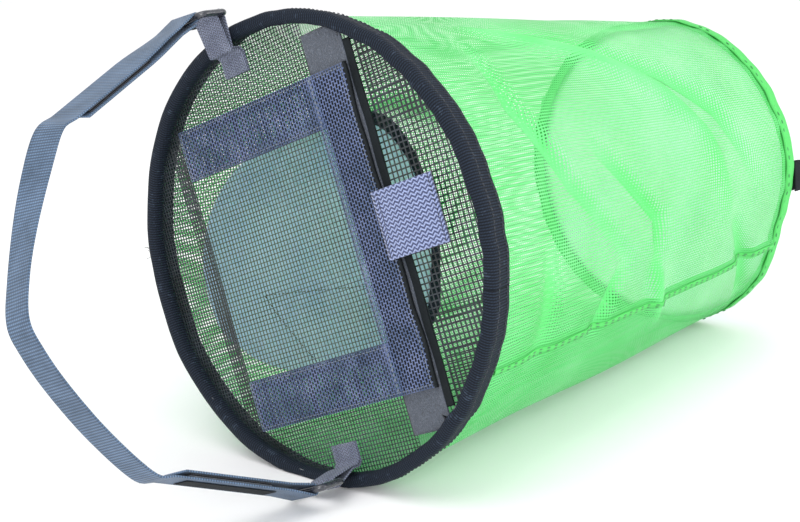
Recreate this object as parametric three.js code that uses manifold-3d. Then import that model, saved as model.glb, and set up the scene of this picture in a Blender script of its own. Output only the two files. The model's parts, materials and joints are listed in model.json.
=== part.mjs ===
// Rope storage bag: a tapered mesh bag lying on its side, with a hooped mouth, a mesh cover with a
// door flap that closes with hook-and-loop tape, and a webbing handle on two D-rings.
// Millimetres, +Z up. The mouth faces -Y and the base +Y.
//
// The bag has a frame of its own: y runs from the mouth's plane towards the base, z is up. The lid
// frame is that frame rolled about y: u runs across the door from its fold to its closing edge, and
// w along the closing edge. h is a distance out of the mouth, so y = -h.
import * as THREE from "three";
import { mergeVertices } from "three/addons/utils/BufferGeometryUtils.js";
import Module from "manifold-3d";

const GAP = 0.3; // between pieces that touch
const RADIAL = 60; // sides of each round piece
const ROLL = THREE.MathUtils.degToRad(21.5); // how far the bag is rolled about its length

// Bag
const LENGTH = 440;
const MOUTH_R = 170; // outside of the wall
const BASE_R = 132;
const WALL = 1.2;
const FLAT = 4; // how far the underside is pressed flat

// Rim
const RIM_PROUD = 3; // how far the rim stands out from the wall
const RIM_CLOTH = 1;
const RIM_FRONT = 4; // how far the rim stands in front of the mouth's plane
const RIM_SKIRT = 18; // how far it reaches back over the wall
const HOOP_WIRE_R = 2;
const WALL_START = 4.5;

// Base
const HEM = 1;
const HEM_LENGTH = 12;
const HEM_LIP = 8;
const BASE_CLOTH = 1.6;
const SEAM_TAPE_WIDTH = 12;
const SEAM_TAPE = 1;
const SEAM_ANGLE = THREE.MathUtils.degToRad(-23); // from +x towards +z
const BINDING_HEIGHT = 3;
const BINDING_LENGTH = 10;
const BASE_LOOP_WIDTH = 25;
const BASE_LOOP_REACH = 14;
const BASE_LOOP_ANGLE = THREE.MathUtils.degToRad(4);

// Pale panel inside the far wall
const PANEL_CLOTH = 1.4;
const PANEL_CENTRE = 168;
const PANEL_HALF_LENGTH = 124;
const PANEL_HALF_WIDTH = 108;
const PANEL_ANGLE = THREE.MathUtils.degToRad(195);
const PANEL_EDGE = 9;

// Mouth cover and door flap, across u and w
const MESH_CLOTH = 1;
const BAND_CLOTH = 1.1;
const BAND_WIDTH = 38;
const DOOR_FOLD = -104;
const DOOR_EDGE = 84;
const DOOR_HALF = 116;
const DOOR_OVERLAP = 6; // of the flap over the mouth panel, at its two sides
const HOOK_WIDTH = 32;
const HOOK_TAPE = 1.1;
const LOOP_WIDTH = 42;
const LOOP_TAPE = 1.3;
const EDGE_TAPE_WIDTH = 8;
const HINGE_TAPE_WIDTH = 12;
const TAB_WIDTH = 50;
const TAB_LENGTH = 58;
const TAB_CLOTH = 1.7;
const TAB_SEWN = 6; // of the tab, on the closing band

// Handle, across u, h and w
const WEBBING = 1.6;
const WEBBING_WIDTH = 25;
const HANDLE_U = -23;
const RING_WIRE = 5;
const RING_SIDE = 2.5; // clearance each side of the webbing
const RING_UPPER_OUT = 9; // from the outside of the rim to the middle of the wire
const RING_LOWER_IN = 11;
const RING_UPPER_BAR_H = 9;
const RING_LOWER_BAR_H = 25;
const RING_REACH = 23; // between the middles of the bar and the bow
const RING_BAR_CORNER = 5.5;
const RING_BOW_CORNER = 7;
const LAP_UPPER_LENGTH = 132;
const LAP_LOWER_LENGTH = 112;
const LAP_UPPER_LEAN = THREE.MathUtils.degToRad(24.4); // towards the middle of the mouth
const LAP_LOWER_LEAN = THREE.MathUtils.degToRad(19.7);
const STRAIGHT_PAST_LAP = 26; // so that the open flap passes inside the handle
const LAP_EASE = 20; // from the ring to where strap and lap lie close
const LAP_PATCH = 1;
const LAP_PATCH_LENGTH = 70;
const LAP_PIVOT = 3;
const LAP_SLACK = 1.2;
const LABEL_LENGTH = 78;
const LABEL_WIDTH = 15;
const LABEL_CLOTH = 0.6;
const KEEPER = 1.3;
const KEEPER_TAIL = 18; // sewn down on the mouth panel

const rimR = MOUTH_R + RIM_PROUD;
const ringWidth = WEBBING_WIDTH + 2 * (RING_WIRE + RING_SIDE);

const COLOURS = {
  green: { color: 0x63e070, roughness: 0.7, metalness: 0 },
  pale: { color: 0xcfdde2, roughness: 0.75, metalness: 0 },
  navy: { color: 0x262c3a, roughness: 0.8, metalness: 0 },
  black: { color: 0x15171b, roughness: 0.85, metalness: 0 },
  grey: { color: 0x7b7f9b, roughness: 0.8, metalness: 0 },
  felt: { color: 0x464b57, roughness: 0.95, metalness: 0 },
  lavender: { color: 0xb4b9d6, roughness: 0.8, metalness: 0 },
  slate: { color: 0x68727d, roughness: 0.75, metalness: 0 },
  lacquer: { color: 0x2c303a, roughness: 0.3, metalness: 0.6 },
  steel: { color: 0x9a9ca0, roughness: 0.4, metalness: 0.9 },
};

// ---- joining and cutting ----

const wasm = await Module();
wasm.setup();

function solid(geometry) {
  const plain = new THREE.BufferGeometry();
  plain.setAttribute("position", (geometry.index ? geometry.toNonIndexed() : geometry).getAttribute("position"));
  const merged = mergeVertices(plain, 1e-4);
  return new wasm.Manifold(
    new wasm.Mesh({
      numProp: 3,
      vertProperties: merged.attributes.position.array,
      triVerts: new Uint32Array(merged.index.array),
    }),
  );
}

function geometryOf(manifold) {
  const mesh = manifold.getMesh();
  const geometry = new THREE.BufferGeometry();
  geometry.setAttribute("position", new THREE.BufferAttribute(mesh.vertProperties, 3));
  geometry.setIndex(new THREE.BufferAttribute(mesh.triVerts, 1));
  geometry.computeVertexNormals();
  return geometry;
}

// ---- the two frames ----

const floorMouth = rimR - FLAT; // from the axis to the floor at the mouth
const floorBase = BASE_R + GAP + HEM - FLAT;
const pitch = Math.atan((floorMouth - floorBase) / LENGTH);

const bag = new THREE.Group();
bag.rotation.x = -pitch;
bag.position.z = floorMouth * Math.cos(pitch);
const lid = new THREE.Group();
lid.rotation.y = -ROLL;
bag.add(lid);
const group = new THREE.Group();
group.add(bag);
group.updateMatrixWorld(true);
const toBag = bag.matrixWorld.clone().invert();

function piece(frame, name, geometry, colour) {
  const mesh = new THREE.Mesh(geometry, new THREE.MeshStandardMaterial(COLOURS[colour]));
  mesh.name = name;
  frame.add(mesh);
}

// ---- shapes ----

// A solid of revolution about the bag's length, from an outline of [radius, y] that starts and ends
// on the axis, pressed flat at a height over the floor.
function pressed(outline, lift) {
  const turned = solid(new THREE.LatheGeometry(outline.map(([r, y]) => new THREE.Vector2(r, y)), RADIAL));
  const depth = 200;
  const block = new THREE.BoxGeometry(4 * MOUTH_R, 4 * LENGTH, depth).translate(0, 0, lift - depth / 2);
  return turned.subtract(solid(block.applyMatrix4(toBag)));
}

const wallOut = (y) => THREE.MathUtils.lerp(MOUTH_R, BASE_R, y / LENGTH);
const wallIn = (y) => wallOut(y) - WALL;

// The solid inside a surface that keeps an offset to the outside of the wall.
function cone(offset, start, end, lift) {
  return pressed([[0, start], [wallOut(start) + offset, start], [wallOut(end) + offset, end], [0, end]], lift);
}

const drum = (radius, start, end, lift) =>
  pressed([[0, start], [radius, start], [radius, end], [0, end]], lift);

// A flat plate: an outline across u and w, between two depths.
function plate(shape, near, far) {
  const geometry = new THREE.ExtrudeGeometry(shape, { depth: far - near, bevelEnabled: false, curveSegments: 24 });
  return geometry.rotateX(Math.PI / 2).translate(0, far, 0);
}

function rectangle(u0, u1, w0, w1) {
  return new THREE.Shape([
    new THREE.Vector2(u0, w0),
    new THREE.Vector2(u1, w0),
    new THREE.Vector2(u1, w1),
    new THREE.Vector2(u0, w1),
  ]);
}

// The part of a disc between two chords of constant u.
function discStrip(radius, u0, u1) {
  const shape = new THREE.Shape();
  const angle = (u) => Math.acos(THREE.MathUtils.clamp(u / radius, -1, 1));
  shape.absarc(0, 0, radius, -angle(u0), -angle(u1), false);
  shape.absarc(0, 0, radius, angle(u1), angle(u0), false);
  return shape;
}

// A ribbon seen from its edge: a line of [h, w] points given a thickness and a width along u.
function ribbon(line, thickness, width, u) {
  const at = line.map(([h, w]) => new THREE.Vector2(-h, w));
  const side = (sign) =>
    at.map((point, i) => {
      const before = at[Math.max(i - 1, 0)];
      const after = at[Math.min(i + 1, at.length - 1)];
      const into = point.clone().sub(before).normalize();
      const out = after.clone().sub(point).normalize();
      const along = into.clone().add(out).normalize();
      const miter = Math.max(Math.sqrt((1 + into.dot(out)) / 2) || 1, 0.5);
      const reach = (sign * thickness) / 2 / (i === 0 || i === at.length - 1 ? 1 : miter);
      return new THREE.Vector2(point.x - along.y * reach, point.y + along.x * reach);
    });
  const shape = new THREE.Shape([...side(1), ...side(-1).reverse()]);
  const geometry = new THREE.ExtrudeGeometry(shape, { depth: width, bevelEnabled: false });
  const turn = new THREE.Matrix4().makeBasis(
    new THREE.Vector3(0, 1, 0),
    new THREE.Vector3(0, 0, 1),
    new THREE.Vector3(1, 0, 0),
  );
  return geometry.applyMatrix4(turn).translate(u - width / 2, 0, 0);
}

// ---- bag shell ----

const baseInner = LENGTH - HEM - GAP; // where the wall ends

function addShell() {
  const wallLift = GAP + HEM;
  const wall = cone(0, WALL_START, baseInner, wallLift).subtract(
    cone(-WALL, WALL_START - 1, LENGTH, wallLift + WALL),
  );
  piece(bag, "side_panel", geometryOf(wall), "green");

  const clothEnd = baseInner - GAP;
  const clothStart = clothEnd - BASE_CLOTH;
  const insideLift = wallLift + WALL + GAP;
  const base = cone(-WALL - GAP, clothStart, clothEnd, insideLift);
  piece(bag, "base_panel", geometryOf(base), "pale");

  const tapeEnd = clothStart - GAP;
  const tapeStart = tapeEnd - BINDING_LENGTH;
  const binding = cone(-WALL - GAP, tapeStart, tapeEnd, insideLift).subtract(
    cone(-WALL - GAP - BINDING_HEIGHT, tapeStart - 1, tapeEnd + 1, insideLift + BINDING_HEIGHT),
  );
  piece(bag, "base_seam_binding", geometryOf(binding), "navy");

  const hem = cone(GAP + HEM, LENGTH - HEM_LENGTH, LENGTH, 0)
    .subtract(cone(GAP, LENGTH - HEM_LENGTH - 1, LENGTH - HEM, HEM))
    .subtract(drum(BASE_R - HEM_LIP, LENGTH - HEM_LENGTH, LENGTH + 1, HEM + HEM_LIP));
  piece(bag, "base_hem", geometryOf(hem), "green");

  addSeamTape(RIM_SKIRT + 4, tapeStart - 2);
  addBaseLoop();
}

// Turns a geometry built along +x of the bag's frame to an angle round its length.
const turned = (geometry, angle) => geometry.rotateY(-angle);

function addSeamTape(start, end) {
  const slope = Math.atan((MOUTH_R - BASE_R) / LENGTH);
  const middle = (start + end) / 2;
  const sag = SEAM_TAPE_WIDTH ** 2 / 8 / wallIn(end); // a flat tape inside a round wall
  const radius = wallIn(middle) * Math.cos(Math.PI / RADIAL) - GAP - sag - SEAM_TAPE / 2;
  const tape = new THREE.BoxGeometry(SEAM_TAPE, (end - start) / Math.cos(slope), SEAM_TAPE_WIDTH);
  tape.rotateZ(slope).translate(radius, middle, 0);
  piece(bag, "side_seam_tape", turned(tape, SEAM_ANGLE), "green");
}

function addBaseLoop() {
  const tape = 1.2;
  const bend = 2;
  const radius = BASE_R - tape - bend;
  const start = LENGTH + GAP;
  const line = [[-start, radius - bend]];
  for (let i = 0; i <= 6; i += 1) {
    const angle = Math.PI * (i / 6);
    const reach = LENGTH + BASE_LOOP_REACH - bend + bend * Math.sin(angle);
    line.push([-reach, radius - bend * Math.cos(angle)]);
  }
  line.push([-start, radius + bend]);
  const loop = ribbon(line, tape, BASE_LOOP_WIDTH, 0).rotateY(Math.PI / 2);
  piece(bag, "base_loop", turned(loop, BASE_LOOP_ANGLE), "black");
}

// ---- rim ----

const hoopR = floorMouth - RIM_CLOTH - GAP - HOOP_WIRE_R;
const rimIn = hoopR - HOOP_WIRE_R - GAP - RIM_CLOTH;

function addRim() {
  const skirtOut = wallOut(RIM_SKIRT) + GAP + RIM_CLOTH;
  const skirtIn = wallIn(RIM_SKIRT) - GAP - RIM_CLOTH;
  const outer = pressed(
    [[0, -RIM_FRONT], [rimR - 4, -RIM_FRONT], [rimR, 0], [rimR, WALL_START], [skirtOut, RIM_SKIRT], [0, RIM_SKIRT]],
    0,
  );
  const bulbFront = RIM_CLOTH - RIM_FRONT;
  const bulb = drum(MOUTH_R + GAP, bulbFront, WALL_START, RIM_CLOTH);
  const slot = cone(GAP, WALL_START - 0.5, RIM_SKIRT + 1, RIM_CLOTH);
  const lining = pressed(
    [[0, bulbFront], [rimIn + RIM_CLOTH, bulbFront], [rimIn + RIM_CLOTH, WALL_START],
      [skirtIn + RIM_CLOTH, RIM_SKIRT], [0, RIM_SKIRT]],
    RIM_CLOTH + 2 * GAP + WALL,
  );
  const hole = drum(rimIn, -RIM_FRONT - 1, RIM_SKIRT + 1, 0);
  const binding = outer.subtract(bulb).subtract(slot).add(lining).subtract(hole);
  piece(bag, "rim_binding", geometryOf(binding), "navy");

  const hoop = new THREE.TorusGeometry(hoopR, HOOP_WIRE_R, 6, RADIAL);
  piece(bag, "rim_hoop", hoop.rotateX(Math.PI / 2).translate(0, GAP + HOOP_WIRE_R - RIM_FRONT + RIM_CLOTH, 0), "steel");
}

// ---- pale panel inside the far wall ----

function addFarWallPanel() {
  const middle = new THREE.Vector3(0, PANEL_CENTRE, 0);
  const outline = (shift, grow) => {
    const shape = new THREE.Shape();
    shape.absellipse(shift, 0, PANEL_HALF_LENGTH + grow, PANEL_HALF_WIDTH + grow, 0, 2 * Math.PI);
    const geometry = new THREE.ExtrudeGeometry(shape, { depth: MOUTH_R, bevelEnabled: false, curveSegments: 20 });
    const basis = new THREE.Matrix4().makeBasis(
      new THREE.Vector3(0, 1, 0),
      new THREE.Vector3(0, 0, 1),
      new THREE.Vector3(1, 0, 0),
    );
    geometry.applyMatrix4(basis).translate(middle.x + 40, middle.y, middle.z);
    return solid(turned(geometry, PANEL_ANGLE));
  };
  const start = RIM_SKIRT + 1;
  const end = LENGTH - 2 * BINDING_LENGTH;
  const skin = cone(-WALL - GAP, start, end, 0).subtract(cone(-WALL - GAP - PANEL_CLOTH, start - 1, end + 1, 0));
  const tape = cone(-WALL - GAP, start, end, 0).subtract(cone(-WALL - GAP - 2 * PANEL_CLOTH, start - 1, end + 1, 0));
  piece(bag, "far_wall_panel", geometryOf(skin.intersect(outline(-PANEL_EDGE, -GAP)).intersect(outline(0, 0))), "pale");
  piece(bag, "far_wall_binding", geometryOf(tape.intersect(outline(0, 0)).subtract(outline(-PANEL_EDGE, 0))), "navy");
}

// ---- mouth cover and door flap ----

const flapNear = 0;
const flapFar = flapNear + MESH_CLOTH;
const hookNear = flapFar + GAP;
const hookFar = hookNear + HOOK_TAPE;
const loopNear = hookFar + GAP;
const loopFar = loopNear + LOOP_TAPE;
const coverNear = loopFar + GAP;
const coverFar = coverNear + MESH_CLOTH;
const coverR = rimIn - GAP;
const loopStart = DOOR_EDGE - BAND_WIDTH + 2; // u of the loop tape's inner edge
const bandFar = flapNear - GAP;
const bandNear = bandFar - BAND_CLOTH;
const bandStart = DOOR_EDGE - BAND_WIDTH;

function addCover() {
  const openHalf = DOOR_HALF - DOOR_OVERLAP;
  const disc = solid(plate(discStrip(coverR, -coverR, loopStart), coverNear, coverFar));
  const door = new THREE.BoxGeometry(loopStart - DOOR_FOLD + 10, 20, 2 * openHalf);
  door.translate((loopStart + DOOR_FOLD + 10) / 2, coverNear, 0);
  piece(lid, "mouth_panel", geometryOf(disc.subtract(solid(door))), "black");

  const crescent = discStrip(coverR, loopStart + GAP, coverR);
  piece(lid, "crescent_panel", plate(crescent, coverNear, coverFar), "black");

  const loopEnd = loopStart + LOOP_WIDTH;
  piece(lid, "loop_strip", plate(discStrip(coverR, loopStart, loopEnd), loopNear, loopFar), "felt");
  const tape = discStrip(coverR, loopEnd + GAP, loopEnd + GAP + EDGE_TAPE_WIDTH);
  piece(lid, "crescent_edge_tape", plate(tape, loopNear, loopFar), "black");

  const hinge = rectangle(DOOR_FOLD - HINGE_TAPE_WIDTH, DOOR_FOLD - GAP, 2 - openHalf, openHalf - 2);
  piece(lid, "flap_hinge_tape", plate(hinge, loopNear, loopFar), "black");
}

function addFlap() {
  const mesh = rectangle(DOOR_FOLD, DOOR_EDGE, -DOOR_HALF, DOOR_HALF);
  piece(lid, "flap_mesh", plate(mesh, flapNear, flapFar), "black");
  const closing = rectangle(bandStart, DOOR_EDGE, -DOOR_HALF, DOOR_HALF);
  piece(lid, "flap_closing_band", plate(closing, bandNear, bandFar), "grey");
  const armStart = DOOR_FOLD + 5;
  const upper = rectangle(armStart, bandStart - GAP, DOOR_HALF - BAND_WIDTH, DOOR_HALF);
  piece(lid, "flap_upper_band", plate(upper, bandNear, bandFar), "grey");
  const lower = rectangle(armStart, bandStart - GAP, -DOOR_HALF, BAND_WIDTH - DOOR_HALF);
  piece(lid, "flap_lower_band", plate(lower, bandNear, bandFar), "grey");
  const hookEnd = DOOR_EDGE - 1;
  const hook = rectangle(hookEnd - HOOK_WIDTH, hookEnd, 2 - DOOR_HALF, DOOR_HALF - 2);
  piece(lid, "hook_strip", plate(hook, hookNear, hookFar), "black");
  const tab = rectangle(DOOR_EDGE - TAB_SEWN, DOOR_EDGE - TAB_SEWN + TAB_LENGTH, -TAB_WIDTH / 2, TAB_WIDTH / 2);
  piece(lid, "pull_tab", plate(tab, bandNear - GAP - TAB_CLOTH, bandNear - GAP), "lavender");
}

// ---- handle ----

const CROWN = [ // [h, w] along the strap's free stretch, from the upper end to the lower
  [197, 91], [217, 58], [233, 26], [242, 0], [238, -20], [226, -48], [205, -84],
];
const WRAP_STEPS = 8;
const wrapR = (RING_WIRE / 2 + GAP + WEBBING / 2) / Math.cos(Math.PI / 2 / WRAP_STEPS);
const lapOffset = (WEBBING + 2 * LAP_PATCH + 3 * GAP) / 2;

// One end of the handle, as directions in h and w: along from its ring towards the crown, and out,
// away from the middle of the mouth.
function handleEnd(side) {
  const isUpper = side === "upper";
  const sign = isUpper ? 1 : -1;
  const ringW = isUpper ? rimR + RING_UPPER_OUT : rimR - RING_LOWER_IN;
  const barH = isUpper ? RING_UPPER_BAR_H : RING_LOWER_BAR_H;
  const bow = new THREE.Vector2(barH + RING_REACH, sign * ringW);
  const lean = isUpper ? LAP_UPPER_LEAN : LAP_LOWER_LEAN;
  const along = new THREE.Vector2(Math.cos(lean), -sign * Math.sin(lean));
  const out = new THREE.Vector2(along.y, -along.x).multiplyScalar(-sign);
  const at = (s, t) => [bow.x + along.x * s + out.x * t, bow.y + along.y * s + out.y * t];
  return { sign, ringW, barH, at, length: isUpper ? LAP_UPPER_LENGTH : LAP_LOWER_LENGTH };
}

// The webbing's turn round the ring's bow, from the lap's side to the strap's.
function wrap(end) {
  const line = [end.at(LAP_PIVOT - LAP_SLACK, -wrapR)];
  for (let i = 0; i <= WRAP_STEPS; i += 1) {
    const angle = Math.PI * (i / WRAP_STEPS);
    line.push(end.at(-wrapR * Math.sin(angle), -wrapR * Math.cos(angle)));
  }
  return line;
}

function addStrap() {
  const upper = handleEnd("upper");
  const lower = handleEnd("lower");
  const straight = (end) => end.at(end.length + STRAIGHT_PAST_LAP, lapOffset);
  const crown = [straight(upper), ...CROWN, straight(lower)];
  const curve = new THREE.CatmullRomCurve3(crown.map(([h, w]) => new THREE.Vector3(h, w, 0)));
  const free = curve.getSpacedPoints(26).map((p) => [p.x, p.y]);
  const line = [
    ...wrap(upper),
    upper.at(LAP_EASE, lapOffset),
    ...free,
    lower.at(LAP_EASE, lapOffset),
    ...wrap(lower).reverse(),
  ];
  piece(lid, "handle_strap", ribbon(line, WEBBING, WEBBING_WIDTH, HANDLE_U), "slate");
}

function addHandleEnd(side) {
  const end = handleEnd(side);
  const lap = [end.at(LAP_PIVOT + LAP_SLACK, -wrapR), end.at(LAP_EASE, -lapOffset), end.at(end.length, -lapOffset)];
  piece(lid, `${side}_lap`, ribbon(lap, WEBBING, WEBBING_WIDTH, HANDLE_U), "slate");
  const patchEnd = end.length - 4;
  const patch = (offset) => [end.at(patchEnd - LAP_PATCH_LENGTH, offset), end.at(patchEnd, offset)];
  const patchOffset = (LAP_PATCH + GAP) / 2;
  const patchWidth = WEBBING_WIDTH - 3;
  piece(lid, `${side}_lap_hook`, ribbon(patch(-patchOffset), LAP_PATCH, patchWidth, HANDLE_U), "black");
  piece(lid, `${side}_strap_loop`, ribbon(patch(patchOffset), LAP_PATCH, patchWidth, HANDLE_U), "felt");
  addRing(side, end);
  addKeeper(side, end);
}

function addLabel() {
  const end = handleEnd("lower");
  const offset = lapOffset + WEBBING / 2 + GAP + LABEL_CLOTH / 2;
  const middle = end.length * 0.62;
  const line = [end.at(middle - LABEL_LENGTH / 2, offset), end.at(middle + LABEL_LENGTH / 2, offset)];
  piece(lid, "lap_label", ribbon(line, LABEL_CLOTH, LABEL_WIDTH, HANDLE_U), "black");
}

// A D of bent wire: a straight bar in the keeper and a round-cornered bow for the strap.
function ringOutline(inset) {
  const half = ringWidth / 2 - inset;
  const low = inset - RING_WIRE / 2;
  const high = RING_REACH + RING_WIRE / 2 - inset;
  const tight = RING_BAR_CORNER - inset;
  const wide = RING_BOW_CORNER - inset;
  const path = new THREE.Shape();
  path.absarc(tight - half, low + tight, tight, Math.PI, 1.5 * Math.PI, false);
  path.absarc(half - tight, low + tight, tight, -0.5 * Math.PI, 0, false);
  path.absarc(half - wide, high - wide, wide, 0, 0.5 * Math.PI, false);
  path.absarc(wide - half, high - wide, wide, 0.5 * Math.PI, Math.PI, false);
  return path;
}

function addRing(side, end) {
  const bevel = 0.36 * RING_WIRE; // rounds the wire
  const outline = ringOutline(bevel);
  outline.holes.push(ringOutline(RING_WIRE - bevel));
  const geometry = new THREE.ExtrudeGeometry(outline, {
    depth: RING_WIRE - 2 * bevel,
    bevelThickness: bevel,
    bevelSize: bevel,
    bevelSegments: 2,
    curveSegments: 5,
  });
  // across u, out of the mouth along h, through the ring along w
  const turn = new THREE.Matrix4().makeBasis(
    new THREE.Vector3(1, 0, 0),
    new THREE.Vector3(0, -1, 0),
    new THREE.Vector3(0, 0, -1),
  );
  const middle = bevel - RING_WIRE / 2;
  geometry.translate(0, 0, middle).applyMatrix4(turn).translate(HANDLE_U, -end.barH, end.sign * end.ringW);
  piece(lid, `${side}_d_ring`, geometry, "lacquer");
}

// A folded loop of webbing: two legs from the rim's inside, over its front and round the ring's bar.
function addKeeper(side, end) {
  const turnR = (RING_WIRE / 2 + GAP + KEEPER / 2) / Math.cos((0.7 * Math.PI) / WRAP_STEPS);
  const corner = Math.abs(HANDLE_U) + WEBBING_WIDTH / 2;
  const insideW = Math.sqrt((rimIn * Math.cos(Math.PI / RADIAL)) ** 2 - corner ** 2) - 2 * GAP - KEEPER / 2;
  const tailH = GAP + KEEPER / 2 - coverNear;
  const overH = RIM_FRONT + 3 * GAP + KEEPER;
  const leg = (layer) => {
    const lift = layer * (KEEPER + GAP);
    return [
      [tailH + lift, insideW - KEEPER_TAIL],
      [tailH + lift, insideW - lift],
      [overH + lift, insideW - lift],
    ];
  };
  // where a straight leg from a point meets the turn, as an angle round the bar
  const meets = ([h, w], sense) => {
    const towards = new THREE.Vector2(w - end.ringW, h - end.barH);
    return Math.atan2(towards.y, towards.x) + sense * Math.acos(turnR / towards.length());
  };
  const turn = [];
  const first = meets(leg(0)[2], 1);
  const last = meets(leg(1)[2], -1) + 2 * Math.PI;
  for (let i = 0; i <= WRAP_STEPS; i += 1) {
    const angle = THREE.MathUtils.lerp(first, last, i / WRAP_STEPS);
    turn.push([end.barH + turnR * Math.sin(angle), end.ringW + turnR * Math.cos(angle)]);
  }
  const line = [...leg(0), ...turn, ...leg(1).reverse()].map(([h, w]) => [h, end.sign * w]);
  piece(lid, `${side}_keeper`, ribbon(line, KEEPER, WEBBING_WIDTH, HANDLE_U), "slate");
}

addShell();
addRim();
addFarWallPanel();
addCover();
addFlap();
addStrap();
addHandleEnd("upper");
addHandleEnd("lower");
addLabel();

// The origin is on the floor, under the middle of the whole object.
group.updateMatrixWorld(true);
const box = new THREE.Box3().setFromObject(group, true);
const centre = box.getCenter(new THREE.Vector3());
group.position.set(-centre.x, -centre.y, 0);

export default group;
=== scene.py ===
"""Looks for a rope storage bag: net cloth, tapes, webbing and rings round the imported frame.

Sizes are in millimetres and are turned into metres when a mesh is made. The bag frame has x across,
a along the bag from the mouth to the base and z up. The lid frame is rolled about a: u runs across
the door flap, w along its closing edge, and h = -a is a distance out of the mouth.
"""

import json
import math

import bmesh
import bpy
import numpy as np
from mathutils import Matrix, Vector


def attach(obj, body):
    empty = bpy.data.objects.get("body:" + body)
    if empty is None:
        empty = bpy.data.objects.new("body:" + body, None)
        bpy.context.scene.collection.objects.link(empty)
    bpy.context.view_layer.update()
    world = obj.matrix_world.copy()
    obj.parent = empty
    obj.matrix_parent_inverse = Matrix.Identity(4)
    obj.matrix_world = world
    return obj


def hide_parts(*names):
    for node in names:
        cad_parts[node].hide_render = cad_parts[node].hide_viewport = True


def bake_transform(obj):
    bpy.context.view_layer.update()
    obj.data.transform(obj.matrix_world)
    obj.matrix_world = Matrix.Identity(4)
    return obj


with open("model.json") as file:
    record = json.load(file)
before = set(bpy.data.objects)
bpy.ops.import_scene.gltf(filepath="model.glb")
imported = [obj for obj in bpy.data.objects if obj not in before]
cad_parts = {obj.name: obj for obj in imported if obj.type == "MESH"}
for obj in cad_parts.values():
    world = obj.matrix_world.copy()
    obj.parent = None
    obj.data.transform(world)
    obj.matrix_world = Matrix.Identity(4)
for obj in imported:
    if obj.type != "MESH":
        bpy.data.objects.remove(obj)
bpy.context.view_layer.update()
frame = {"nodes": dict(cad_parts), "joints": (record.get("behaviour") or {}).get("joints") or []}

MM = 0.001

# ---- sizes that repeat the frame's ----
LENGTH = 440.0
MOUTH_R = 170.0
BASE_R = 132.0
RIM_IN = 162.4
HANDLE_U = -23.0
SEAM_ANGLE = math.radians(-23.0)

joints = {j["name"]: j for j in frame["joints"]}
W_AXIS = -np.array(joints["flap_fold"]["axis"])
U_AXIS = np.array(joints["upper_lap_peel"]["axis"])
A_AXIS = np.cross(W_AXIS, U_AXIS)
A_AXIS /= np.linalg.norm(A_AXIS)
X_AXIS = np.array([1.0, 0.0, 0.0])
Z_AXIS = np.cross(X_AXIS, A_AXIS)
DOOR_FOLD = -104.0
MOUTH = np.array(joints["flap_fold"]["pos_m"]) - MM * (DOOR_FOLD * U_AXIS + 0.5 * A_AXIS)


def in_bag(x, a, z):
    """Points of the bag frame, in mm, as world points in metres."""
    x, a, z = np.broadcast_arrays(x, a, z)
    return MOUTH + MM * (x[..., None] * X_AXIS + a[..., None] * A_AXIS + z[..., None] * Z_AXIS)


def round_bag(radius, angle, a):
    """Points at a radius and an angle from +x towards +z about the bag's own axis."""
    return in_bag(radius * np.cos(angle), a, radius * np.sin(angle))


def in_lid(u, a, w):
    """Points of the lid frame, in mm, as world points in metres."""
    u, a, w = np.broadcast_arrays(u, a, w)
    return MOUTH + MM * (u[..., None] * U_AXIS + a[..., None] * A_AXIS + w[..., None] * W_AXIS)


def wall_radius(a):
    return MOUTH_R + (BASE_R - MOUTH_R) * a / LENGTH


def above_floor(points, lift):
    """Cloth that would hang under the floor lies on it instead."""
    points = points.copy()
    points[..., 2] = np.maximum(points[..., 2], lift * MM)
    return points


def smooth_step(x, low, high):
    t = np.clip((x - low) / (high - low), 0, 1)
    return t * t * (3 - 2 * t)


def ridge(x, centre, width):
    return np.exp(-(((x - centre) / width) ** 2))


def around(angle, centre):
    """How far an angle is from another, in radians, either way round."""
    return (angle - centre + math.pi) % (2 * math.pi) - math.pi


class Ripple:
    """A sum of waves round the bag, the same on each run."""

    def __init__(self, seed, counts):
        rng = np.random.default_rng(seed)
        self.waves = [(n, rng.uniform(0, 2 * math.pi), rng.uniform(0.5, 1.0)) for n in counts]

    def __call__(self, angle):
        total = sum(size * np.sin(n * angle + phase) for n, phase, size in self.waves)
        return total / math.sqrt(len(self.waves))


def lengths_along(line):
    """How far along a line each of its points lies."""
    return np.concatenate([[0], np.cumsum(np.linalg.norm(np.diff(line, axis=0), axis=1))])


def along_line(line, far, at):
    return np.stack([np.interp(at, far, line[:, k]) for k in range(line.shape[1])], 1)


def even_line(points, count):
    points = np.asarray(points, float)
    far = lengths_along(points)
    return along_line(points, far, np.linspace(0, far[-1], count))


def smooth_line(points, count):
    """Even points along a smooth curve through the given ones."""
    points = np.asarray(points, float)
    first, last = 2 * points[0] - points[1], 2 * points[-1] - points[-2]
    ends = np.concatenate([[first], points, [last]])
    fine = []
    for i in range(1, len(ends) - 2):
        p0, p1, p2, p3 = ends[i - 1 : i + 3]
        t = np.linspace(0, 1, 24, endpoint=False)[:, None]
        bend = (2 * p0 - 5 * p1 + 4 * p2 - p3) * t**2 + (3 * p1 - p0 - 3 * p2 + p3) * t**3
        fine.append(0.5 * (2 * p1 + (p2 - p0) * t + bend))
    return even_line(np.concatenate(fine + [points[-1:]]), count)


# ---- meshes ----


def mesh_object(name, points, faces, uv=None, smooth=True):
    mesh = bpy.data.meshes.new(name)
    mesh.from_pydata([tuple(p) for p in points], [], faces)
    if uv is not None:
        layer = mesh.uv_layers.new(name="UVMap")
        loops = np.zeros(len(mesh.loops), np.int32)
        mesh.loops.foreach_get("vertex_index", loops)
        layer.data.foreach_set("uv", np.asarray(uv, np.float32)[loops].ravel())
    mesh.polygons.foreach_set("use_smooth", [smooth] * len(mesh.polygons))
    obj = bpy.data.objects.new(name, mesh)
    bpy.context.scene.collection.objects.link(obj)
    return obj


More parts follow.
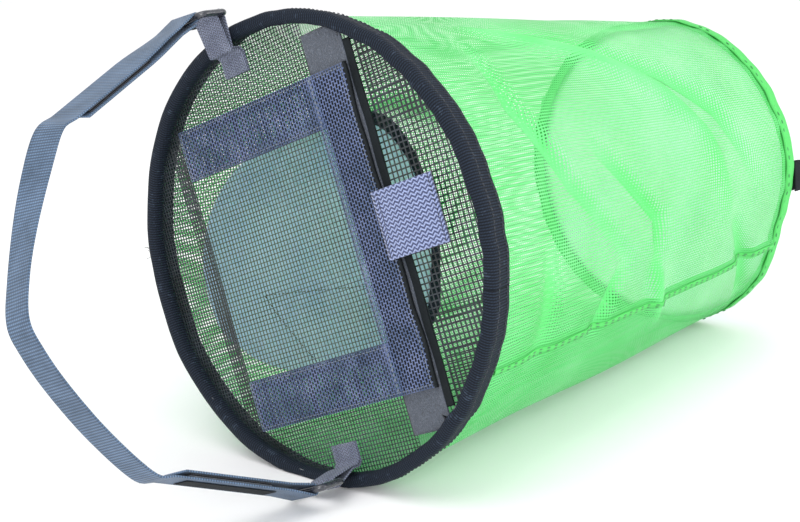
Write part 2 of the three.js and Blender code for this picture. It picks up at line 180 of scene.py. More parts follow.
def grid_faces(rows, columns, close_rows=False, close_columns=False):
    last_row = rows if close_rows else rows - 1
    last_column = columns if close_columns else columns - 1
    i, j = np.meshgrid(np.arange(last_row), np.arange(last_column), indexing="ij")
    i, j = i.ravel(), j.ravel()
    i1, j1 = (i + 1) % rows, (j + 1) % columns
    quads = np.stack([i * columns + j, i1 * columns + j, i1 * columns + j1, i * columns + j1], 1)
    return quads.tolist()


def grid_object(name, points, uv=None, close_rows=False, close_columns=False, flip=False):
    rows, columns = points.shape[:2]
    faces = grid_faces(rows, columns, close_rows, close_columns)
    if flip:
        faces = [f[::-1] for f in faces]
    uv = None if uv is None else uv.reshape(-1, 2)
    return mesh_object(name, points.reshape(-1, 3), faces, uv)


def with_modifiers(obj, *settings):
    """Adds modifiers, turns the result into a plain mesh and removes them."""
    for kind, values in settings:
        modifier = obj.modifiers.new(kind.lower(), kind)
        for key, value in values.items():
            setattr(modifier, key, value)
    return baked(obj)


def baked(obj):
    graph = bpy.context.evaluated_depsgraph_get()
    mesh = bpy.data.meshes.new_from_object(obj.evaluated_get(graph))
    obj.modifiers.clear()
    old = obj.data
    obj.data = mesh
    bpy.data.meshes.remove(old)
    mesh.name = obj.name
    return obj


def thick(obj, thickness, offset=0.0):
    return with_modifiers(
        obj, ("SOLIDIFY", {"thickness": thickness * MM, "offset": offset, "use_even_offset": True})
    )


# ---- nodes ----


class Nodes:
    """A node tree whose nodes are added with their inputs by name."""

    def __init__(self, tree):
        self.tree = tree

    def feed(self, socket, value):
        if isinstance(value, bpy.types.NodeSocket):
            self.tree.links.new(value, socket)
        else:
            socket.default_value = value

    def set(self, node, values):
        for label, value in values.items():
            self.feed(node.inputs[label.replace("_", " ")], value)

    def node(self, kind, settings=(), **inputs):
        node = self.tree.nodes.new(kind)
        for key, value in dict(settings).items():
            setattr(node, key, value)
        self.set(node, inputs)
        return node

    def math(self, operation, *values):
        node = self.node("ShaderNodeMath", {"operation": operation})
        for socket, value in zip(node.inputs, values):
            self.feed(socket, value)
        return node.outputs[0]


class Tree(Nodes):
    """A Geometry Nodes tree with named inputs, which ends in real meshes with their material."""

    def __init__(self, name, **sizes):
        super().__init__(bpy.data.node_groups.new(name, "GeometryNodeTree"))
        sockets = self.tree.interface
        sockets.new_socket("Geometry", in_out="INPUT", socket_type="NodeSocketGeometry")
        for label, value in sizes.items():
            label = label.replace("_", " ")
            size = sockets.new_socket(label, in_out="INPUT", socket_type="NodeSocketFloat")
            size.default_value = value
        sockets.new_socket("Material", in_out="INPUT", socket_type="NodeSocketMaterial")
        sockets.new_socket("Geometry", in_out="OUTPUT", socket_type="NodeSocketGeometry")
        self.start = self.tree.nodes.new("NodeGroupInput")
        self.end = self.tree.nodes.new("NodeGroupOutput")

    def given(self, label):
        return self.start.outputs[label]

    def attribute(self, name, kind):
        named = self.node("GeometryNodeInputNamedAttribute", {"data_type": kind}, Name=name)
        return named.outputs[0]

    def finish(self, geometry):
        real = self.node("GeometryNodeRealizeInstances", Geometry=geometry).outputs[0]
        material = self.given("Material")
        cloth = self.node("GeometryNodeSetMaterial", Geometry=real, Material=material)
        self.tree.links.new(cloth.outputs[0], self.end.inputs[0])
        return self.tree


def apply_tree(obj, tree, values):
    modifier = obj.modifiers.new(tree.name, "NODES")
    modifier.node_group = tree
    for item in tree.interface.items_tree:
        if item.in_out == "INPUT" and item.name in values:
            modifier[item.identifier] = values[item.name]
    return baked(obj)


def net_tree():
    """Opens a hole in each face of a sheet, so that its edges stay as flat threads. Where the
    sheet's closed value is above 0 the cloth is doubled or pulled tight, and the holes shrink."""
    t = Tree("net", Hole_share=0.6)
    inset = t.node("GeometryNodeExtrudeMesh", {"mode": "FACES"}, Mesh=t.given("Geometry"),
                   Offset_Scale=0.0, Individual=True)
    open_share = t.math("SUBTRACT", 1.0, t.attribute("closed", "FLOAT"))
    share = t.math("MULTIPLY", open_share, t.given("Hole share"))
    shrink = t.node("GeometryNodeScaleElements", {"domain": "FACE"}, Geometry=inset.outputs["Mesh"],
                    Selection=inset.outputs["Top"], Scale=share)
    holes = t.node("GeometryNodeDeleteGeometry", {"domain": "FACE", "mode": "ALL"},
                   Geometry=shrink.outputs[0], Selection=inset.outputs["Top"])
    return t.finish(holes.outputs[0])


def stitch_tree():
    """Lays a stitch of thread on each point, turned along the line that the point is on."""
    t = Tree("stitches", Stitch=3.0 * MM, Thread=0.5 * MM)
    points = t.node("GeometryNodeMeshToPoints", {"mode": "VERTICES"}, Mesh=t.given("Geometry"))
    body = t.node("GeometryNodeMeshUVSphere", Segments=6, Rings=4, Radius=1.0)
    along = t.attribute("along", "FLOAT_VECTOR")
    turn = t.node("FunctionNodeAlignRotationToVector", {"axis": "X"}, Vector=along)
    thread = t.given("Thread")
    size = t.node("ShaderNodeCombineXYZ", X=t.given("Stitch"), Y=thread, Z=thread)
    laid = t.node("GeometryNodeInstanceOnPoints", Points=points.outputs[0],
                  Instance=body.outputs["Mesh"], Rotation=turn.outputs[0], Scale=size.outputs[0])
    return t.finish(laid.outputs[0])


NET = net_tree()
STITCHES = stitch_tree()
LOOK_AHEAD = 0.2 * MM  # on each side of a stitch, to find which way its line runs


def net(obj, hole_share, material):
    return apply_tree(obj, NET, {"Hole share": hole_share, "Material": material})


def stitches(name, lines, pitch, length, thread, material):
    """Stitches along lines of world points, each line with an even pitch, all sizes in mm."""
    points, along = [], []
    for line in lines:
        line = np.asarray(line)
        far = lengths_along(line)
        count = max(int(far[-1] / (pitch * MM)), 1)
        at = (np.arange(count) + 0.5) * far[-1] / count
        points.append(along_line(line, far, at))
        ahead = along_line(line, far, at + LOOK_AHEAD)
        along.append(ahead - along_line(line, far, at - LOOK_AHEAD))
    points, along = np.concatenate(points), np.concatenate(along)
    obj = mesh_object(name, points, [])
    attribute = obj.data.attributes.new("along", "FLOAT_VECTOR", "POINT")
    attribute.data.foreach_set("vector", along.astype(np.float32).ravel())
    values = {"Stitch": length / 2 * MM, "Thread": thread / 2 * MM, "Material": material}
    return apply_tree(obj, STITCHES, values)


# ---- materials ----


class Finish(Nodes):
    """A Principled material whose nodes are added by name."""

    def __init__(self, name, colour, roughness, **constants):
        self.material = bpy.data.materials.new(name)
        self.material.use_nodes = True
        super().__init__(self.material.node_tree)
        self.shader = self.tree.nodes["Principled BSDF"]
        self.material.diffuse_color = (*colour, 1)
        self.set(self.shader, {"Base Color": (*colour, 1), "Roughness": roughness, **constants})
        place = self.tree.nodes.new("ShaderNodeTexCoord")
        self.object = place.outputs["Object"]
        split = self.node("ShaderNodeSeparateXYZ", Vector=place.outputs["UV"])
        self.across, self.along = split.outputs["X"], split.outputs["Y"]

    def waves(self, distance, pitch):
        """From 0 to 1 and back in each pitch, in mm, of a distance in mm."""
        turn = self.math("MULTIPLY", distance, 2 * math.pi / pitch)
        return self.math("MULTIPLY_ADD", self.math("SINE", turn), 0.5, 0.5)

    def weave(self, across_pitch, along_pitch, way="MULTIPLY"):
        """Two sets of waves at right angles, like the two yarns of a cloth."""
        return self.math(way, self.waves(self.across, across_pitch),
                         self.waves(self.along, along_pitch))

    def noise(self, size, detail=3.0, roughness=0.55):
        """Soft patches about size mm across."""
        node = self.node("ShaderNodeTexNoise", Vector=self.object, Scale=1000.0 / size,
                         Detail=detail, Roughness=roughness)
        return node.outputs[0]

    def between(self, value, *stops):
        """A colour ramp through (place, colour) stops."""
        ramp = self.node("ShaderNodeValToRGB", Fac=value)
        elements = ramp.color_ramp.elements
        while len(elements) < len(stops):
            elements.new(0.5)
        for element, (place, colour) in zip(elements, stops):
            element.position = place
            element.color = (*colour, 1)
        return ramp.outputs[0]

    def tinted(self, colour, value, low, high):
        """A colour made lighter and darker between low and high by a value from 0 to 1."""
        shade = self.ranged(value, low, high)
        mixed = self.node("ShaderNodeVectorMath", {"operation": "SCALE"}, Scale=shade)
        self.set(mixed, {"Vector": colour})
        return mixed.outputs[0]

    def ranged(self, value, low, high):
        return self.node("ShaderNodeMapRange", Value=value, To_Min=low, To_Max=high).outputs[0]

    def mixed(self, share, first, second):
        mix = self.node("ShaderNodeMix", {"data_type": "RGBA"})
        for index, value in ((0, share), (6, first), (7, second)):
            self.feed(mix.inputs[index], (*value, 1) if isinstance(value, tuple) else value)
        return mix.outputs[2]

    def done(self, colour, height, depth, roughness=None):
        """The material, with its colour, a bump of that depth in mm and its roughness."""
        bump = self.node("ShaderNodeBump", Height=height, Distance=depth * MM, Strength=1.0)
        self.set(self.shader, {"Base Color": colour, "Normal": bump.outputs[0]})
        if roughness is not None:
            self.set(self.shader, {"Roughness": roughness})
        return self.material


def green_net_finish():
    f = Finish("green_net", (0.13, 0.76, 0.17), 0.5, Specular_IOR_Level=0.2)
    patches = f.noise(60, 2.0)
    colour = f.between(patches, (0.3, (0.10, 0.62, 0.15)), (0.55, (0.145, 0.69, 0.21)),
                       (0.75, (0.205, 0.75, 0.27)))
    threads = f.noise(0.9, 2.0)
    return f.done(f.tinted(colour, threads, 0.86, 1.12), threads, 0.12)


def green_tape_finish():
    f = Finish("green_tape", (0.11, 0.66, 0.14), 0.55, Specular_IOR_Level=0.25)
    weave = f.weave(1.0, 0.8)
    return f.done(f.tinted((0.11, 0.68, 0.15), weave, 0.8, 1.08), weave, 0.15)


def pale_cloth_finish(name, soiled_colour, clean_colour):
    """Thin cloth that lets the light through from both sides."""
    f = Finish(name, clean_colour, 0.6, Subsurface_Weight=1.0, Subsurface_Scale=0.004,
               Subsurface_Radius=(1.0, 1.0, 1.0))
    weave = f.weave(0.7, 0.7, "ADD")
    colour = f.between(f.noise(45, 4.0), (0.3, soiled_colour), (0.6, clean_colour))
    height = f.math("ADD", f.math("MULTIPLY", weave, 0.3), f.noise(14, 3.0))
    return f.done(colour, height, 0.35)


def rim_tape_finish():
    """Dark ribbed tape, greyer where it is rubbed."""
    f = Finish("rim_tape", (0.012, 0.018, 0.034), 0.7, Specular_IOR_Level=0.18)
    twill = f.waves(f.math("ADD", f.across, f.along), 2.2)
    weave = f.math("MULTIPLY", f.waves(f.along, 1.9), f.math("MULTIPLY_ADD", twill, 0.5, 0.5))
    dark = f.tinted((0.010, 0.016, 0.028), weave, 0.25, 1.9)
    rubbed = f.math("GREATER_THAN", f.noise(7, 4.0, 0.65), 0.62)
    colour = f.mixed(f.math("MULTIPLY", rubbed, weave), dark, (0.045, 0.065, 0.10))
    return f.done(colour, weave, 0.4)


def black_net_finish():
    f = Finish("black_net", (0.012, 0.016, 0.02), 0.38)
    patches = f.noise(30, 2.0)
    colour = f.between(patches, (0.35, (0.008, 0.012, 0.014)), (0.7, (0.03, 0.04, 0.05)))
    return f.done(colour, f.noise(1.0, 2.0), 0.1)


def grey_net_finish():
    f = Finish("grey_net", (0.14, 0.18, 0.28), 0.5, Specular_IOR_Level=0.35)
    strands = f.noise(0.8, 2.0)
    colour = f.between(f.noise(22, 3.0), (0.3, (0.055, 0.09, 0.18)), (0.55, (0.11, 0.15, 0.29)),
                       (0.8, (0.21, 0.25, 0.42)))
    return f.done(f.tinted(colour, strands, 0.7, 1.3), strands, 0.2)


def felt_finish():
    f = Finish("loop_felt", (0.05, 0.065, 0.095), 0.95, Sheen_Weight=0.25, Sheen_Roughness=0.6)
    pile = f.noise(1.3, 5.0, 0.75)
    colour = f.between(pile, (0.3, (0.015, 0.02, 0.03)), (0.55, (0.055, 0.07, 0.10)),
                       (0.75, (0.17, 0.20, 0.25)))
    return f.done(colour, pile, 0.9)


def black_tape_finish():
    f = Finish("black_tape", (0.008, 0.010, 0.012), 0.75, Specular_IOR_Level=0.15)
    weave = f.weave(1.2, 0.9)
    uneven = f.math("ADD", weave, f.noise(12))
    return f.done(f.tinted((0.010, 0.013, 0.015), uneven, 0.4, 1.5), weave, 0.2)


def hook_tape_finish():
    f = Finish("hook_tape", (0.01, 0.01, 0.013), 0.5)
    hooks = f.weave(1.5, 1.5)
    return f.done(f.tinted((0.03, 0.03, 0.035), hooks, 0.2, 1.6), hooks, 0.6)


def chevron_finish():
    """Zigzag rows of pale and navy yarn."""
    f = Finish("chevron_tape", (0.50, 0.54, 0.72), 0.55, Sheen_Weight=0.3)
    zig = f.math("PINGPONG", f.along, 2.65)
    stripe = f.waves(f.math("ADD", f.across, f.math("MULTIPLY", zig, 0.8)), 3.1)
    navy = f.math("GREATER_THAN", stripe, 0.48)
    picks = f.waves(f.math("ADD", f.across, f.math("MULTIPLY", f.along, 0.4)), 1.3)
    pale = f.tinted((0.28, 0.34, 0.57), picks, 0.7, 1.2)
    height = f.math("ADD", stripe, f.math("MULTIPLY", picks, 0.4))
    return f.done(f.mixed(navy, pale, (0.03, 0.045, 0.13)), height, 0.35)


def webbing_finish():
    f = Finish("webbing", (0.10, 0.135, 0.175), 0.55, Specular_IOR_Level=0.4, Sheen_Weight=0.1)
    ribs = f.waves(f.along, 2.2)
    strands = f.waves(f.math("MULTIPLY_ADD", ribs, 0.4, f.across), 2.1)
    weave = f.math("MULTIPLY", f.math("MULTIPLY_ADD", strands, 0.6, 0.4), ribs)
    patches = f.noise(16, 3.0)
    dusty = f.between(patches, (0.3, (0.060, 0.105, 0.175)), (0.7, (0.105, 0.17, 0.275)))
    return f.done(f.tinted(dusty, weave, 0.45, 1.55), weave, 0.45)


def keeper_finish():
    """Herringbone webbing."""
    f = Finish("keeper_webbing", (0.11, 0.13, 0.19), 0.55, Sheen_Weight=0.1)
    bone = f.waves(f.math("ADD", f.along, f.math("PINGPONG", f.across, 2.6)), 2.3)
    patches = f.noise(9, 3.0)
    colour = f.between(patches, (0.3, (0.085, 0.10, 0.155)), (0.7, (0.16, 0.18, 0.25)))
    return f.done(f.tinted(colour, bone, 0.45, 1.6), bone, 0.4)


def lacquer_finish():
    f = Finish("ring_lacquer", (0.02, 0.023, 0.032), 0.18, Coat_Weight=0.6, Coat_Roughness=0.08)
    scuffs = f.noise(3, 5.0, 0.7)
    colour = f.between(scuffs, (0.4, (0.016, 0.018, 0.026)), (0.72, (0.05, 0.055, 0.07)))
    return f.done(colour, scuffs, 0.05, f.ranged(scuffs, 0.12, 0.38))


def wire_finish():
    f = Finish("spring_wire", (0.45, 0.46, 0.48), 0.35, Metallic=1.0)
    drawn = f.noise(2, 4.0)
    return f.done(f.tinted((0.5, 0.51, 0.53), drawn, 0.7, 1.1), drawn, 0.03)


def thread_finish(name, colour):
    f = Finish(name, colour, 0.5, Sheen_Weight=0.2)
    twist = f.noise(0.6, 2.0)
    return f.done(f.tinted(colour, twist, 0.6, 1.3), twist, 0.1)


def floor_finish():
    f = Finish("floor", (0.93, 0.93, 0.94), 0.8)
    colour = f.tinted((0.93, 0.93, 0.94), f.noise(40, 2.0), 0.99, 1.01)
    f.set(f.shader, {"Base Color": colour})
    return f.material


green_net = green_net_finish()
green_tape = green_tape_finish()
pale_cloth = pale_cloth_finish("pale_cloth", (0.66, 0.79, 0.95), (0.80, 0.89, 0.99))
# A copy of the pale cloth made darker and bluer: painted shade for the far wall's cloth inside the
# bag, set against the green light that comes through the net.
shaded_pale_cloth = pale_cloth_finish("pale_blue_cloth", (0.38, 0.56, 1.0), (0.46, 0.66, 1.0))
rim_tape = rim_tape_finish()
black_net = black_net_finish()
grey_net = grey_net_finish()
loop_felt = felt_finish()
black_tape = black_tape_finish()
hook_tape = hook_tape_finish()
chevron_tape = chevron_finish()
webbing = webbing_finish()
keeper_webbing = keeper_finish()
ring_lacquer = lacquer_finish()
spring_wire = wire_finish()
dark_thread = thread_finish("dark_thread", (0.015, 0.02, 0.03))
grey_thread = thread_finish("grey_thread", (0.16, 0.19, 0.24))
green_thread = thread_finish("green_thread", (0.03, 0.22, 0.06))


def place(obj, material, body, slot, *nodes):
    """The last steps of every piece: its finish, its body and the nodes it stands for. The slot is
    not used.
    """
    give(obj, material)
    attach(obj, body)
    if nodes:
        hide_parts(*nodes)
    return obj


def give(obj, material):
    obj.data.materials.clear()
    obj.data.materials.append(material)


def sew(name, lines, pitch, length, thread, material, body, slot):
    """Rows of stitches as one piece."""
    place(stitches(name, lines, pitch, length, thread, material), material, body, slot)


def flat_uv(across, along):
    """UVs in mm, across and along a cloth."""
    return np.stack(np.broadcast_arrays(across, along), -1)


# ---- green net wall ----

NET_PITCH = 2.5
WALL_FROM, WALL_TO = 4.5, 438.5
WALL_PANELS = 4
WALL_OPEN = 0.59  # the hole share of the wall's net
MEAN_R = 150  # turns an angle into mm round the wall
FOLDS = [  # a soft crease: its (angle in degrees, a) points, its width and its depth
    ([(64, 91), (42, 80), (19, 112), (-6, 181)], 8, -8.0),
    ([(30, 149), (18, 183), (4, 221), (-13, 214)], 8, -8.5),
    ([(75, 110), (69, 142), (57, 218), (41, 275), (25, 307), (-3, 331)], 10, 8.0),
    ([(78, 170), (66, 235), (50, 300), (33, 345), (8, 372)], 10, -9.0),
    ([(7, 76), (-25, 75)], 12, -4.5),
    ([(-1, 207), (-33, 250)], 8, 6.5),
    ([(-6, 174), (-25, 145)], 8, -6.5),
    ([(-2, 336), (-27, 389), (-47, 419)], 9, -8.0),
    ([(72, 250), (80, 350), (84, 420)], 12, -5.0),
    ([(110, 120), (128, 260), (120, 400)], 14, -5.0),
    ([(165, 90), (150, 230), (170, 380)], 14, -5.0),
    ([(212, 120), (228, 260), (205, 400)], 12, -4.0),
]
small_waves = Ripple(7, [5, 8, 13])
edge_waves = Ripple(11, [17, 23, 31])


def crease(angle, a, line, width):
    """From 0 to 1 on a crease: how near a place on the wall is to its line, less near its ends."""
    middle = math.radians(sum(degrees for degrees, _ in line) / len(line))
    y = around(angle, middle) * MEAN_R
    points = [((math.radians(degrees) - middle) * MEAN_R, along) for degrees, along in line]
    nearest = np.full(np.broadcast(y, a).shape, 1e9)
    strength = np.zeros(nearest.shape)
    for k, ((y0, a0), (y1, a1)) in enumerate(zip(points, points[1:])):
        run, rise = a1 - a0, y1 - y0
        share = np.clip(((a - a0) * run + (y - y0) * rise) / (run**2 + rise**2), 0, 1)
        gap = np.hypot(a - a0 - share * run, y - y0 - share * rise)
        far = (k + share) / (len(points) - 1)
        closer = gap < nearest
        strength = np.where(closer, 0.25 + 0.75 * np.sin(math.pi * far) ** 0.7, strength)
        nearest = np.minimum(nearest, gap)
    return strength * np.exp(-((nearest / width) ** 2))


def base_dent(angle):
    """How far the base's edge is pushed in beside the loop and at the back, in mm."""
    beside_loop = ridge(around(angle, math.radians(-14)), 0, 0.30)
    at_back = ridge(around(angle, math.radians(100)), 0, 0.25)
    return -7.0 * beside_loop - 4.0 * at_back


def wall_folds(angle, a):
    """The sum of the soft folds at a place on the wall, and how much they close the net."""
    relief, closed = 0.0, 0.0
    for line, width, depth in FOLDS:
        near = crease(angle, a, line, width)
        relief = relief + depth * near
        closed = np.maximum(closed, abs(depth) / 9 * near**2)
    inside = smooth_step(a, WALL_FROM, WALL_FROM + 50) * (1 - smooth_step(a, WALL_TO - 30, WALL_TO))
    return relief * inside, np.clip(closed, 0, 0.75)


def wall_slack(angle, a):
    """How far the cloth stands in or out from the straight cone, in mm."""
    span = np.clip((a - WALL_FROM) / (WALL_TO - WALL_FROM), 0, 1)
    hang = np.sin(math.pi * span)
    slack = -3.0 * hang * ridge(around(angle, math.pi / 2), 0, 1.2)
    slack = slack + 1.3 * hang * small_waves(angle + 0.002 * a)
    slack = slack + 0.9 * edge_waves(angle) * ridge(a, WALL_TO - 6, 22)
    slack = slack + 0.7 * edge_waves(2 * angle) * ridge(a, 22, 14)
    slack = slack + wall_folds(angle, a)[0]
    return slack + base_dent(angle) * smooth_step(a, WALL_TO - 130, WALL_TO)


def wall_point(angle, a, lift=0.0):
    radius = wall_radius(a) - 0.6 + wall_slack(angle, a) + lift
    return above_floor(round_bag(radius, angle, a), 0.6 + lift)


def make_wall():
    around_count = round(2 * math.pi * MOUTH_R / NET_PITCH / WALL_PANELS)
    along_count = round((WALL_TO - WALL_FROM) / NET_PITCH)
    for k in range(WALL_PANELS):
        start = SEAM_ANGLE + 2 * math.pi * k / WALL_PANELS
        angle = start + np.linspace(0, 2 * math.pi / WALL_PANELS, around_count + 1)
        a = np.linspace(WALL_FROM, WALL_TO, along_count + 1)
        angle, a = np.meshgrid(angle, a, indexing="ij")
        sheet = grid_object(f"net_wall_{k + 1}", wall_point(angle, a))
        closed = sheet.data.attributes.new("closed", "FLOAT", "POINT")
        closed.data.foreach_set("value", wall_folds(angle, a)[1].astype(np.float32).ravel())
        nodes = ("side_panel",) if k == 0 else ()
        place(net(sheet, WALL_OPEN, green_net), green_net, "bag", "green_mesh", *nodes)


def make_seam():
    """The lengthwise seam: a tape inside, a raised welt outside and green stitches."""
    a = np.linspace(22, 424.5, 200)
    off = np.linspace(-6, 6, 7)
    angle = SEAM_ANGLE + off[None, :] / wall_radius(a)[:, None]
    points = wall_point(angle, np.broadcast_to(a[:, None], angle.shape), -1.4)
    tape = thick(grid_object("seam_tape", points, flat_uv(off[None, :], a[:, None])), 0.8)
    place(tape, green_tape, "bag", "green_mesh", "side_seam_tape")
    a = np.linspace(20, 430, 240)
    turn = np.linspace(-math.pi, math.pi, 13)[:-1]
    wide, high = 2.2 * np.cos(turn), 0.8 * np.sin(turn) + 0.5
    angle = SEAM_ANGLE + (wide[None, :] + 0.5 * np.sin(a / 9)[:, None]) / wall_radius(a)[:, None]
    a = np.broadcast_to(a[:, None], angle.shape)
    points = wall_point(angle, a, high[None, :])
    welt = grid_object("seam_welt", points, flat_uv(angle * MEAN_R, a), close_columns=True)
    place(welt, green_tape, "bag", "green_mesh")
    a = np.linspace(24, 426, 300)
    rows = [wall_point(np.full(300, SEAM_ANGLE + side / MEAN_R), a, 1.25) for side in (-1.1, 1.1)]
    sew("seam_stitches", rows, 8.5, 4.2, 1.1, green_thread, "bag", "green_mesh")


def disc(name, centre, points, x, y, flip=False):
    """A round sheet: its middle point and rings of points, with flat UVs x and y in mm."""
    rings, spokes = points.shape[:2]
    faces = [[0, 1 + j, 1 + (j + 1) % spokes] for j in range(spokes)]
    faces += [[1 + v for v in f] for f in grid_faces(rings, spokes, close_columns=True)]
    if flip:
        faces = [[f[0], f[2], f[1]] if len(f) == 3 else f[::-1] for f in faces]
    uv = np.concatenate([[[0, 0]], np.stack([x, y], -1).reshape(-1, 2)])
    return mesh_object(name, np.concatenate([centre, points.reshape(-1, 3)]), faces, uv)


# ---- base ----

BASE_CLOTH_R, BASE_CLOTH_A, BASE_DISH = 130.5, 437.6, 2.2

def make_base_panel():
    radius = np.linspace(0.0, BASE_CLOTH_R, 31)[1:]
    angle = np.linspace(0, 2 * math.pi, 180, endpoint=False)
    r, t = np.meshgrid(radius, angle, indexing="ij")
    middle = smooth_step(r, 20, 120) * (1 - smooth_step(r, 118, 131))
    dish = -BASE_DISH * (1 - (r / 131) ** 2) + 0.8 * small_waves(t) * middle
    edge = r + base_dent(t) * (r / 131) ** 3
    points = above_floor(round_bag(edge, t, BASE_CLOTH_A + dish), 1.0)
    centre = in_bag(np.zeros(1), np.full(1, BASE_CLOTH_A - BASE_DISH), np.zeros(1))
    cloth = disc("base_cloth", centre, points, r * np.cos(t), r * np.sin(t), flip=True)
    panel = thick(cloth, 0.8)
    place(panel, pale_cloth, "bag", "pale_cloth", "base_panel")


def ring_loft(name, outline, count, bend, floor_lift=0.6):
    """A closed outline of (a, radius offset from the wall) points carried round the bag."""
    angle = np.linspace(0.0, 2 * math.pi, count, endpoint=False)
    outline = np.asarray(outline, float)
    back, outward_by = bend(angle)
    a = outline[None, :, 0] + back[:, None]
    out = outline[None, :, 1] + outward_by[:, None]
    radius = wall_radius(np.clip(a, 0, LENGTH)) + out
    points = above_floor(round_bag(radius, angle[:, None], a), floor_lift)
    far = lengths_along(np.concatenate([outline, outline[:1]]))[:-1]
    uv = flat_uv(far[None, :], angle[:, None] * 165.0)
    return grid_object(name, points, uv, close_rows=True, close_columns=True, flip=True)


def make_hem():
    """The folded hem that joins wall and base, with its row of stitches and the inside binding."""
    section = [(427.5, 0.3), (433, 1.0), (439, 1.2), (440.4, 0.4), (440.4, -4), (440.2, -7.5),
               (439.2, -7.6), (439.2, -3.5), (438.6, -0.6), (434, 0.0), (428.5, -0.5)]

    def wobble(angle):
        return 0.5 * edge_waves(angle), 0.4 * small_waves(3 * angle) + base_dent(angle)

    hem = ring_loft("base_hem_tape", section, 420, wobble)
    place(hem, green_tape, "bag", "green_mesh", "base_hem")
    row = wall_point(np.linspace(0, 2 * math.pi, 900), np.full(900, 431.5), 1.5)
    sew("hem_stitches", [row], 7.5, 3.8, 1.0, green_thread, "bag", "green_mesh")
    section = [(426.5, -1.4), (436, -1.4), (436.6, -2.6), (436, -3.8), (431, -4.2), (426.8, -3.6),
               (426.0, -2.4)]
    dented = lambda angle: (0 * angle, base_dent(angle))
    binding = ring_loft("base_inner_binding", section, 300, dented, floor_lift=1.6)
    place(binding, green_tape, "bag", "green_mesh", "base_seam_binding")


def make_base_loop():
    """A short loop of black tape, folded over and sewn into the hem."""
    angle = math.radians(4)
    radius, bend, sewn_a, bend_a = 128.8, 2.6, 440.3, 451.4
    turn = [(bend_a + bend * math.sin(v), -bend * math.cos(v)) for v in np.linspace(0, math.pi, 19)]
    path = [(a, radius + r) for a, r in [(sewn_a, -bend)] + turn + [(sewn_a, bend)]]

    def on_base(a, r, s):
        return in_bag(r * math.cos(angle) - s * math.sin(angle), a,
                      r * math.sin(angle) + s * math.cos(angle))

    loop = tape_ribbon("base_loop_tape", path, 1.1, 24.5, on_base)
    place(loop, black_tape, "bag", "black_tape", "base_loop")


def tape_section(width, thickness):
    """A flat tape's cross-section with slightly thicker, rounded edges: across and out of it."""
    half = width / 2
    across = np.array([-half, 0.5 - half, 1.6 - half, -half / 2, 0, half / 2, half - 1.6,
                       half - 0.5, half])
    height = np.array([0.25, 0.5, 0.46, 0.5, 0.5, 0.5, 0.46, 0.5, 0.25]) * thickness
    return np.concatenate([across, across[::-1]]), np.concatenate([height, -height[::-1]])


def tape_ribbon(name, path, thickness, width, to_world, step=1.5, twist=None):
    """A tape along a path of two coordinates, its width along the third one of to_world."""
    path = np.asarray(path, float)
    length = np.sum(np.linalg.norm(np.diff(path, axis=0), axis=1))
    path = even_line(path, max(int(length / step), 8))
    count = len(path)
    forward = np.gradient(path, axis=0)
    forward /= np.linalg.norm(forward, axis=1)[:, None]
    across, out = tape_section(width, thickness)
    far = np.linspace(0, length, count)
    turn = np.zeros(count) if twist is None else twist(path)
    c, s = np.cos(turn)[:, None], np.sin(turn)[:, None]
    side = across[None, :] * c - out[None, :] * s
    rise = across[None, :] * s + out[None, :] * c
    first = path[:, None, 0] - forward[:, None, 1] * rise
    second = path[:, None, 1] + forward[:, None, 0] * rise
    uv = flat_uv(across[None, :], far[:, None])
    obj = grid_object(name, to_world(first, second, side), uv, close_columns=True)
    close_ends(obj, count, len(across))
    return obj


def close_ends(obj, rows, columns):
    """Caps both ends of a lofted tube."""
    mesh = obj.data
    points = np.zeros(len(mesh.vertices) * 3)
    mesh.vertices.foreach_get("co", points)
    faces = [list(p.vertices) for p in mesh.polygons]
    uv = np.zeros((len(mesh.vertices), 2))
    layer = mesh.uv_layers[0].data
    for polygon in mesh.polygons:
        for loop, vertex in zip(polygon.loop_indices, polygon.vertices):
            uv[vertex] = layer[loop].uv
    faces += [list(range(columns))[::-1], list(range((rows - 1) * columns, rows * columns))]
    name = obj.name
    whole = mesh_object(name + "_whole", points.reshape(-1, 3), faces, uv)
    outward(whole)
    obj.data = whole.data
    bpy.data.objects.remove(whole)
    obj.data.name = name


def outward(obj):
    """Turns every face of a closed mesh to point out."""
    bm = bmesh.new()
    bm.from_mesh(obj.data)
    bmesh.ops.recalc_face_normals(bm, faces=bm.faces)
    bm.to_mesh(obj.data)
    bm.free()


# ---- rim ----

rim_waves = Ripple(3, [4, 7, 11])
rim_puckers = Ripple(5, [29, 37, 53])


def make_rim():
    """The bound edge of the mouth: cloth folded over the hoop, with rows of stitches and a join."""
    section = [(18, 0.9), (12, 1.8), (6, 2.4), (2, 3.0), (-1.5, 2.7), (-3.4, 0.8), (-4.0, -2.6),
               (-3.5, -5.4), (-1.2, -7.2), (3, -7.5), (9, -5.2), (14, -3.8), (17.8, -3.4),
               (18.2, -2.4), (13, -2.2), (6, -3.0), (4.6, -1.6), (6, -0.3), (13, 0.1), (17.8, 0.0)]
    fine = smooth_line(np.array(section + section[:1]), 56)[:-1]
    rim = ring_loft("rim_tape_binding", fine, 720, rim_wobble)
    place(rim, rim_tape, "bag", "rim_tape", "rim_binding")
    angle = np.linspace(0, 2 * math.pi, 1400)
    back, out = rim_wobble(angle)
    rows = []
    for a, lift in ((14.5, 1.9), (3.5, 3.0), (10.0, -5.1)):
        rows.append(above_floor(round_bag(wall_radius(a) + lift + out, angle, a + back), 0.9))
    sew("rim_stitches", rows, 4.2, 3.0, 0.8, dark_thread, "bag", "rim_tape")
    make_thread_ends()
    give(frame["nodes"]["rim_hoop"], spring_wire)


